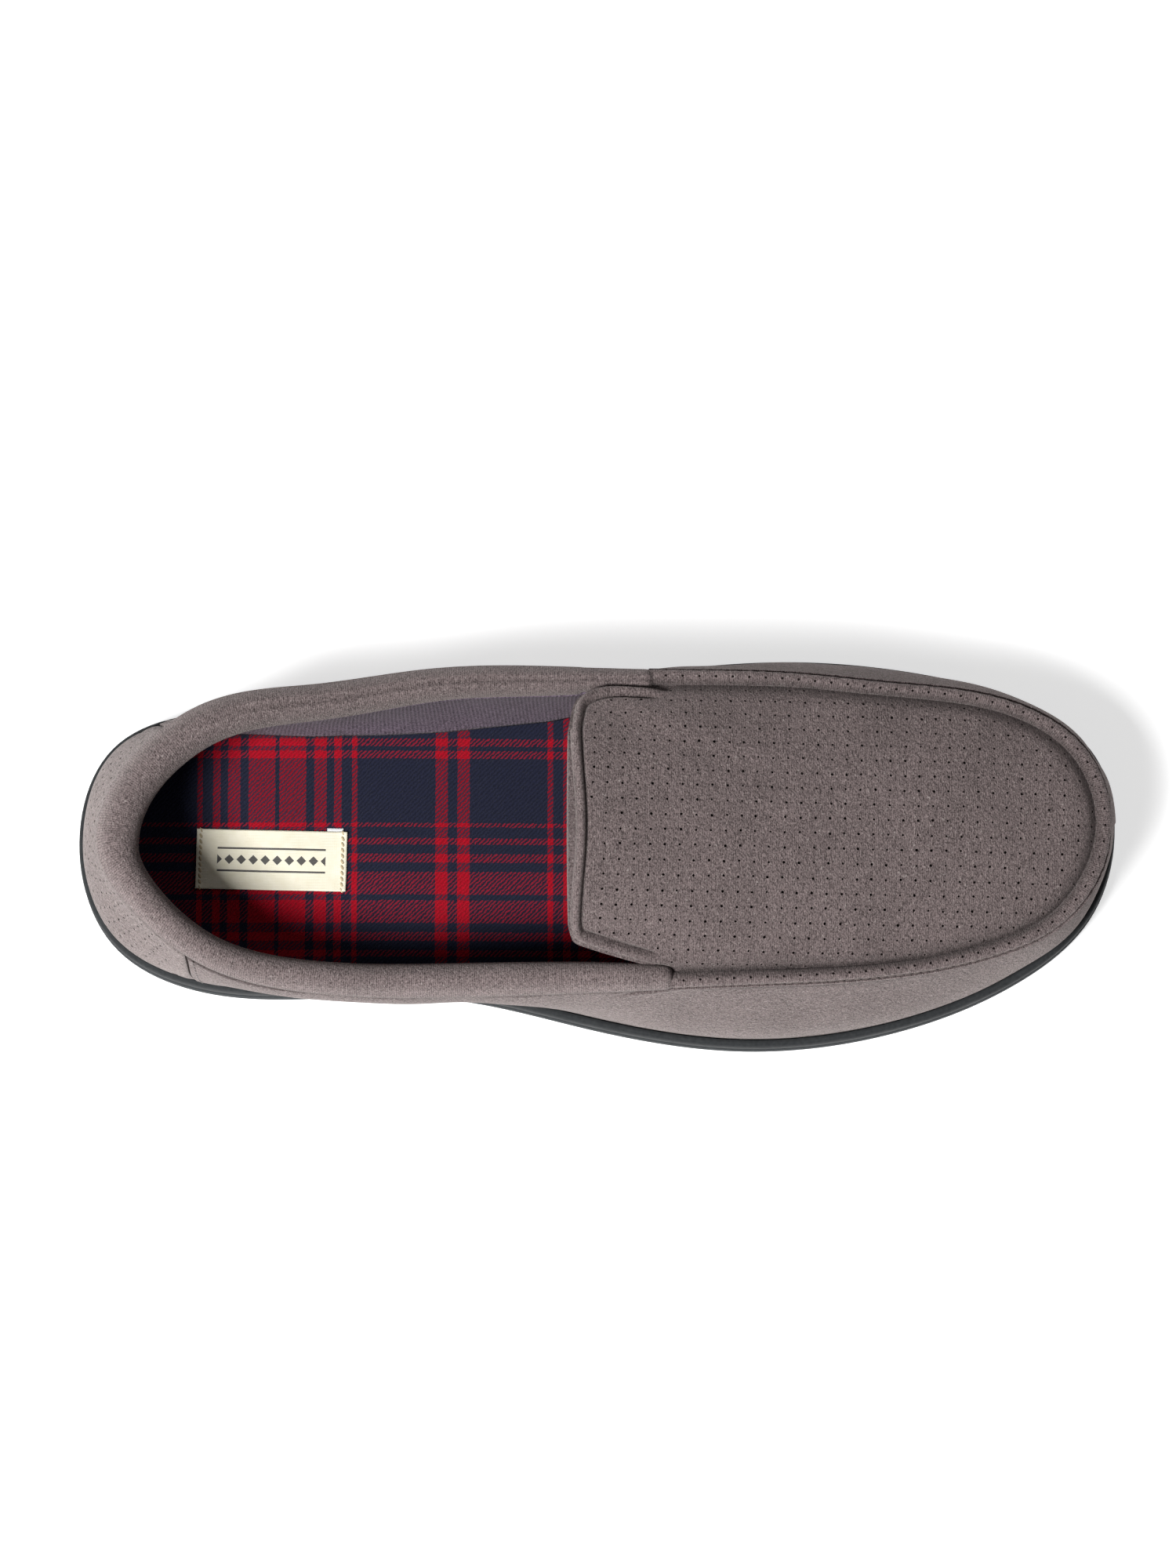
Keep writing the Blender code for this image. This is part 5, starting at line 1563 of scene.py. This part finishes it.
def sweep(name, sections, materials, shade, chart_scale=1.0):
    """Closed tube through sections of equal count, its ends closed by fans; UV runs along and round."""
    sections = np.asarray(sections, float)
    rows, count = sections.shape[:2]
    along = np.concatenate(([0.0], np.cumsum(np.linalg.norm(np.diff(sections.mean(axis=1), axis=0), axis=1))))
    points = np.concatenate((sections.reshape(-1, 3), sections[[0, -1]].mean(axis=1)))
    faces = grid_faces(rows, count, around=True).tolist()
    base = (rows - 1) * count
    faces += [(rows * count, j, (j + 1) % count) for j in range(count)]
    faces += [(rows * count + 1, base + (j + 1) % count, base + j) for j in range(count)]
    chart = np.zeros((len(points), 2))
    chart[: rows * count, 0] = np.repeat(along, count)
    chart[: rows * count, 1] = np.tile(np.arange(count) / count * chart_scale, rows)
    marks = {"shade": np.append(np.ravel(shade), [TUBE_END_SHADE] * 2)}
    piece = new_piece(name, points, faces, materials, chart, marks)
    face_outwards(piece)
    return piece


def seam_run(steps):
    """u along the raised seam from the lateral throat round the toe to the medial throat."""
    start = float(rim_u(THROAT_LATERAL, "lateral")) + THROAT_GAP / PERIMETER
    end = float(rim_u(THROAT_MEDIAL, "medial")) - THROAT_GAP / PERIMETER
    return np.linspace(start, end + (end < start), steps)


def rim_line(u, reach):
    """Plan points at a reach inside the rim."""
    return shape(u)[:, 2:4] - outward(u, 2) * np.asarray(reach)[..., None]


def seam_path(steps, reach, rise):
    """A line along the raised seam at shares of its width and height, with its up vectors."""
    line = rim_line(seam_run(steps), np.full(steps, reach * SEAM_WIDTH))
    return vamp_path(line, GAP + rise * RIDGE_RISE)


def make_ridge():
    """The folded and sewn ridge round the plug."""
    u = seam_run(RIDGE_STEPS)
    along = np.linspace(0.0, (u[-1] - u[0]) * PERIMETER, len(u))
    turns = 2.0 * math.pi * along
    ripple = 0.5 * np.sin(turns / 0.0021) + 0.5 * np.sin(turns / 0.0031 + 1.3)
    swell = np.sin(turns / 0.0047)
    columns = []
    for reach, rise in RIDGE_SECTION:
        plan = rim_line(u, np.full(len(u), reach * SEAM_WIDTH))
        strength = hump(reach - 0.45, 0.38)
        lift = GAP + rise * RIDGE_RISE + 0.00007 * strength * ripple + 0.00008 * strength * swell
        columns.append(vamp_points(plan[:, 0], plan[:, 1], lift))
    reaches = np.array([reach for reach, _ in RIDGE_SECTION])
    # Painted shade in the crease beside the plug, in the stitch groove and under the outer fold; below zero
    # it is a painted highlight on the fold's top
    shade = 0.75 * hump(reaches - 0.97, 0.13) + 1.1 * hump(reaches - 0.225, 0.045)
    rises = np.array([rise for _, rise in RIDGE_SECTION])
    fold = smooth((0.20 - reaches) / 0.10)
    shade += 0.9 * fold * smooth((0.42 - rises) / 0.12) - 0.30 * fold * smooth((rises - 0.42) / 0.10)
    # Painted shade at both ends of the ridge
    from_end = np.minimum(along, along[-1] - along)
    shade = np.clip(shade[None, :] + 0.8 * hump(from_end, 0.0013)[:, None], -0.35, 1.0)
    sections = np.stack(columns, axis=1)
    return sweep("moccasin_ridge", sections, [collar_suede, pit_shadow], shade, RIDGE_UV_ROUND)


moccasin_ridge = make_ridge()
hole_path = seam_path(400, 0.76, 0.90)
ridge_holes = row_of("ridge_holes", [hole_path], NEEDLE_PITCH, NEEDLE_HOLE, pit_shadow)
punch(moccasin_ridge, ridge_holes)
dress(moccasin_ridge, "moccasin_seam", "moccasin_seam")

# %% [markdown]
# ## The collar
# The collar is a foam roll covered in suede and sewn down on its outer side. Its section is a rounded
# form, taller on the outside, and its two ends are domed where the cover is tucked in. A soft groove
# runs along its inner side, and slow swellings keep it from looking like a tube.

# %% Collar
# Section of the collar: reach over its width, rise over its height
COLLAR_SECTION = [
    (0.030, 0.030), (-0.060, 0.100), (-0.125, 0.210), (-0.135, 0.340), (-0.095, 0.500),
    (-0.010, 0.650), (0.080, 0.790), (0.190, 0.900), (0.300, 0.970), (0.420, 1.000),
    (0.550, 0.990), (0.680, 0.940), (0.800, 0.850), (0.900, 0.720), (0.965, 0.560),
    (0.990, 0.400), (0.980, 0.240), (0.930, 0.120), (0.850, 0.055), (0.700, 0.022),
    (0.450, 0.010), (0.200, 0.015),
]
COLLAR_STEPS = 460
COLLAR_UV_ROUND = 0.034
DOME_RUN = 0.0028
DOME_END = 0.38


def collar_run(steps):
    """u along the collar from the medial throat behind the heel to the lateral throat."""
    start = float(rim_u(THROAT_MEDIAL, "medial")) - 0.0022 / PERIMETER
    end = float(rim_u(THROAT_LATERAL, "lateral")) + 0.0030 / PERIMETER
    return np.linspace(start - (start > end), end, steps)


def make_collar():
    """Padded roll with domed ends."""
    u = collar_run(COLLAR_STEPS)
    row, normal = shape(u), outward(u, 2)
    width = collar_width(row)
    along = (u - u[0]) * PERIMETER
    from_end = np.minimum(along, along[-1] - along)
    dome = np.sqrt(np.clip(1.0 - (1.0 - np.clip(from_end / DOME_RUN, 0.0, 1.0)) ** 2, 0.0, 1.0))
    dome = DOME_END + (1.0 - DOME_END) * dome
    medial = smooth((0.36 * along[-1] - along) / (0.08 * along[-1]))
    section = np.array(COLLAR_SECTION)
    section = open_spline(range(len(section) + 1), np.vstack((section, section[:1])))
    fine = section(np.linspace(0.0, len(COLLAR_SECTION), 45)[:-1])
    reach, rise = fine[:, 0][None, :], fine[:, 1][None, :]
    middle = 0.45
    reach = middle + (reach - middle) * dome[:, None]
    rise = rise * dome[:, None] + 0.02 * (1.0 - dome[:, None])
    swell = soft_waves(along[:, None], np.arctan2(rise - 0.4, reach - 0.45) * 0.010, 0.021, 1.0)
    swell = swell * smooth(rise / 0.25)
    puff = 1.0 + 0.022 * swell
    groove = 0.11 * hump(reach - 0.50, 0.085) * medial[:, None] * (rise > 0.5)
    # Painted shade at the collar's base, in its groove and at its domed ends
    shade = 0.6 * hump(rise, 0.12) + 3.0 * groove + 0.9 * (1.0 - dome[:, None]) * hump(rise, 0.4)
    # Painted shade along the outer overhang, and a painted highlight on the band above it
    outer = smooth((0.30 - reach) / 0.15)
    shade += 0.75 * outer * smooth((0.44 - rise) / 0.10) - 0.22 * outer * hump(rise - 0.64, 0.14)
    plan = row[:, None, 2:4] - normal[:, None, :] * (reach * width[:, None])[..., None]
    height = row[:, None, 4] + GAP + (rise * puff - groove) * row[:, None, 8]
    shade = np.clip(shade, -0.35, 1.0)
    sections = np.concatenate((plan, height[..., None]), axis=-1)
    return sweep("padded_collar", sections, [collar_suede], shade, COLLAR_UV_ROUND)


padded_collar = make_collar()
dress(padded_collar, "collar", "collar")

# %% [markdown]
# ## The heel counter
# The counter is a thin perforated panel set flush between the quarters. It is the wall's own surface
# behind the heel, lifted and given 0.9 mm. Its punches stand in slanted rows, laid by the same tree as
# the plug's through a UV map of the panel in metres.

# %% Heel counter
COUNTER_COLUMNS = 110
COUNTER_ROWS = 44
COUNTER_CREASE = 0.965
COUNTER_GRID = {"length": 0.100, "width": 0.060, "middle": (0.0, 0.0, 0.0), "pitch": 0.0043}
COUNTER_GRID |= {"shear": 0.30, "depth": 0.0007, "margin": 0.0060, "seed": 9}


def make_counter():
    """Perforated panel round the heel, with its holes cut."""
    medial, lateral = counter_ends()
    half = 0.0005 / PERIMETER
    u = np.linspace(medial + half, lateral - half, COUNTER_COLUMNS)
    t = np.linspace(0.06, 1.0, COUNTER_ROWS)
    share = smooth((u - u[0]) / (u[-1] - u[0]) * 2.0 - 1.0)
    levels = [u + share * seam_lean(height) for height in t]
    rows = [wall_grid(row, np.array([height]), 0.0 * row)[:, 0] for row, height in zip(levels, t)]
    points = np.stack(rows, axis=1)
    out = level_out(u)[:, None, :]
    points = points + out * GAP
    edge = np.minimum(u - u[0], u[-1] - u)[:, None] * PERIMETER
    tuck = -0.0003 * hump(edge, 0.0012) - 0.0002 * hump(edge - 0.0052, 0.0007)
    tuck = tuck - 0.0005 * hump(t - COUNTER_CREASE, 0.025)[None, :]
    points = points + out * (tuck + soft_waves(points[..., 1], points[..., 2], 0.024, 0.00012))[..., None]
    rise = np.linalg.norm(np.diff(points, axis=1), axis=2).cumsum(axis=1)
    rise = np.concatenate((np.zeros((len(u), 1)), rise), axis=1)
    run = np.concatenate(([0.0], np.linalg.norm(np.diff(points[:, 20], axis=0), axis=1).cumsum()))
    across = np.repeat(run[:, None], COUNTER_ROWS, axis=1) - run[-1] / 2.0
    chart = np.stack((across, rise - rise.mean()), axis=-1)
    flat = chart.reshape(-1, 2)
    border = np.minimum(run[-1] / 2.0 - np.abs(flat[:, 0]), flat[:, 1].max() - np.abs(flat[:, 1]))
    faces = grid_faces(*points.shape[:2])
    # seam is painted shade in the crease under the collar; the border gets painted shade along the panel's
    # tucked edges
    seam = np.tile(0.8 * hump(t - COUNTER_CREASE, 0.030), len(u))
    marks = {"edge": border, "shade": np.clip(0.9 * hump(border, 0.0007) + seam, 0.0, 1.0)}
    panel = new_piece("heel_panel", points, faces, [counter_suede, pit_shadow], chart, marks)
    face = panel.modifiers.new("Face", "DISPLACE")
    face.strength = COUNTER_THICKNESS
    face.mid_level = 0.0
    thick = new_object("thick", panel.data.copy())
    apply_modifiers(panel)
    punches = lay_punches(panel, **COUNTER_GRID)
    thick.name = "heel_panel"
    thicken(thick, COUNTER_THICKNESS, 1)
    return punch(thick, punches)


heel_panel = make_counter()
dress(heel_panel, "heel_counter", "heel_counter")

# %% [markdown]
# ## The woven label
# The label is a strip of satin ribbon laid on the footbed and sewn down at its short ends. Its
# corners lift a little and its face waves by a tenth or two of a millimetre. Its material weaves two
# fine rules and a row of lozenges into it.

# %% Label
LABEL_LENGTH = 0.0425
LABEL_WIDTH = 0.017
LABEL_THICKNESS = 0.0005
LABEL_LIFT = 0.00038
LABEL_X = -0.312 * LENGTH
LABEL_Y = -0.0027
LABEL_TURN = math.radians(-1.3)


def label_points(x, y, lift):
    """Points over the footbed, turned with the label."""
    along, across = x - LABEL_X, y - LABEL_Y
    x = LABEL_X + along * math.cos(LABEL_TURN) - across * math.sin(LABEL_TURN)
    y = LABEL_Y + along * math.sin(LABEL_TURN) + across * math.cos(LABEL_TURN)
    return np.stack((x, y, footbed_height(x, y) + lift), axis=-1)


def make_label():
    """Woven ribbon over the footbed."""
    a, b = np.meshgrid(np.linspace(-0.5, 0.5, 86), np.linspace(-0.5, 0.5, 36), indexing="ij")
    x, y = LABEL_X + a * LABEL_LENGTH, LABEL_Y + b * LABEL_WIDTH
    wave = 0.00012 * np.sin(a * 9.0 + b * 3.0) + 0.00010 * np.cos(b * 8.0 - a * 4.0)
    held = 1.0 - hump(np.abs(a) - 0.47, 0.03)
    corner = 0.0004 * smooth((np.abs(b) - 0.40) / 0.10) * smooth((np.abs(a) - 0.42) / 0.08)
    points = label_points(x, y, LABEL_LIFT + wave * held + corner)
    chart = np.stack((a * LABEL_LENGTH, b * LABEL_WIDTH), axis=-1)
    piece = new_piece("woven_label", points, grid_faces(*a.shape), [cream_satin], chart)
    return thicken(piece, LABEL_THICKNESS, 1)


woven_label = make_label()
dress(woven_label, "label", "label")

# %% [markdown]
# ## Stitches
# Every stitched line is a path laid on its surface, and the row tree sets one short thread on it at
# each step. The lines are the ones the photo shows: in the ridge's groove, beside the heel counter and
# across the label's two ends. A small white tag looks out from under the label's long side.

# %% Stitch lines
SEAM_STITCH, SEAM_STITCH_PITCH = (0.0019, 0.0005, 0.0004), 0.0024
WALL_STITCH, WALL_STITCH_PITCH = (0.0021, 0.0005, 0.0004), 0.0028
LABEL_STITCH, LABEL_STITCH_PITCH, LABEL_STITCH_TURN = (0.0016, 0.0008, 0.0006), 0.0016, 0.45
BESIDE_COUNTER = 0.0022
LABEL_HEM = 0.0012
TAG_SIZE = (0.0046, 0.0016)
TAG_THICKNESS = 0.0002
PATH_STEPS = 60


def line_up_wall(x, side, shift, low, high):
    """A line up the wall beside a seam, with its up vectors."""
    u0 = float(rim_u(x, side)) + shift / PERIMETER
    points, ups = [], []
    for t in np.linspace(low, high, PATH_STEPS):
        u = np.array([u0 + (seam_lean(t) if side == "lateral" else 0.0)])
        height = np.array([t])
        out = level_out(u)[0]
        points.append(wall_grid(u, height, step_out(u, height))[0, 0] + out * 0.0001)
        ups.append(out)
    return np.array(points), np.array(ups)


groove_path = seam_path(500, 0.215, 0.43)
ridge_stitches = row_of("ridge_stitches", [groove_path], SEAM_STITCH_PITCH, SEAM_STITCH, taupe_thread)
dress(ridge_stitches, "moccasin_seam")

counter_lines = [
    line_up_wall(COUNTER_LATERAL, "lateral", BESIDE_COUNTER, 0.12, 0.97),
    line_up_wall(COUNTER_MEDIAL, "medial", -BESIDE_COUNTER, 0.12, 0.97),
]
counter_stitches = row_of("counter_stitches", counter_lines, WALL_STITCH_PITCH, WALL_STITCH, taupe_thread)
dress(counter_stitches, "upper")

label_lines = []
for end in (LABEL_HEM - 0.5 * LABEL_LENGTH, 0.5 * LABEL_LENGTH - LABEL_HEM):
    y = LABEL_Y + np.linspace(-0.48, 0.48, PATH_STEPS) * LABEL_WIDTH
    line = label_points(np.full(PATH_STEPS, LABEL_X + end), y, 0.0009)
    label_lines.append((line, np.repeat([[0.0, 0.0, 1.0]], PATH_STEPS, axis=0)))
label_stitches = row_of(
    "label_stitches", label_lines, LABEL_STITCH_PITCH, LABEL_STITCH, pale_thread, LABEL_STITCH_TURN
)
dress(label_stitches, "label")

tag_a, tag_b = np.meshgrid(np.linspace(-0.5, 0.5, 13), np.linspace(-0.5, 0.5, 5), indexing="ij")
tag_x = LABEL_X + 0.5 * LABEL_LENGTH - 0.0034 + tag_a * TAG_SIZE[0]
tag_y = LABEL_Y + 0.5 * LABEL_WIDTH + 0.0002 + tag_b * TAG_SIZE[1]
tag_points = label_points(tag_x, tag_y, 0.00030 + 0.0002 * tag_a)
under_tag = new_piece("under_tag", tag_points, grid_faces(*tag_a.shape), [white_tape])
thicken(under_tag, TAG_THICKNESS, 1)
dress(under_tag, "label")

# %% [markdown]
# ## Studio
# The photo looks almost straight down on a white floor, with soft light from the heel's outer side and
# a faint shadow towards the toe and the inner side. One large lamp makes that light, and a weak second
# lamp and an even white world fill the shadows. The camera stands at the photo's angle and distance.

# %% Floor, light and camera
WHITE = (1.0, 1.0, 1.0, 1.0)
AIM = (0.0, 0.0, 0.02)
floor_mesh = bpy.data.meshes.new("floor")
floor_mesh.from_pydata([(-3, -3, 0), (3, -3, 0), (3, 3, 0), (-3, 3, 0)], [], [(0, 1, 2, 3)])
floor_material, _, floor_shader = new_material("pale_floor", {"Roughness": 0.9, "Specular IOR Level": 0.1})
floor_shader.inputs["Base Color"].default_value = (0.80, 0.80, 0.80, 1.0)
floor_shader.inputs["Emission Color"].default_value = WHITE
floor_shader.inputs["Emission Strength"].default_value = 0.62
floor_mesh.materials.append(floor_material)
floor = new_object("floor", floor_mesh)

world = bpy.data.worlds.new("studio")
world.use_nodes = True
world.node_tree.nodes["Background"].inputs["Color"].default_value = WHITE
world.node_tree.nodes["Background"].inputs["Strength"].default_value = 0.10
bpy.context.scene.world = world


def lamp(name, place, target, size, power):
    """A square area lamp aimed at a point."""
    light = bpy.data.lights.new(name, "AREA")
    light.size = size
    light.energy = power
    made = new_object(name, light)
    made.location = place
    aim = np.array(target) - np.array(place)
    flat = math.hypot(aim[0], aim[1])
    made.rotation_euler = (math.atan2(flat, -aim[2]), 0.0, math.atan2(aim[1], aim[0]) - math.pi / 2.0)
    print("%s lamp: %.1f W" % (name, power))


lamp("key", (-0.72, -0.62, 1.62), AIM, 0.50, 42.0)
lamp("fill", (0.9, 0.7, 1.6), AIM, 1.4, 1.6)

TILT = math.radians(7.0)
DISTANCE = 1.4
LENS = 112.0
SENSOR = 36.0
camera_data = bpy.data.cameras.new("camera")
camera_data.lens = LENS
camera_data.sensor_width = SENSOR
camera = new_object("camera", camera_data)
camera.location = (-0.0026, 0.0214 - DISTANCE * math.sin(TILT), DISTANCE * math.cos(TILT))
camera.rotation_euler = (TILT, 0.0, 0.0)
bpy.context.scene.camera = camera
bpy.context.scene.view_settings.view_transform = "Standard"
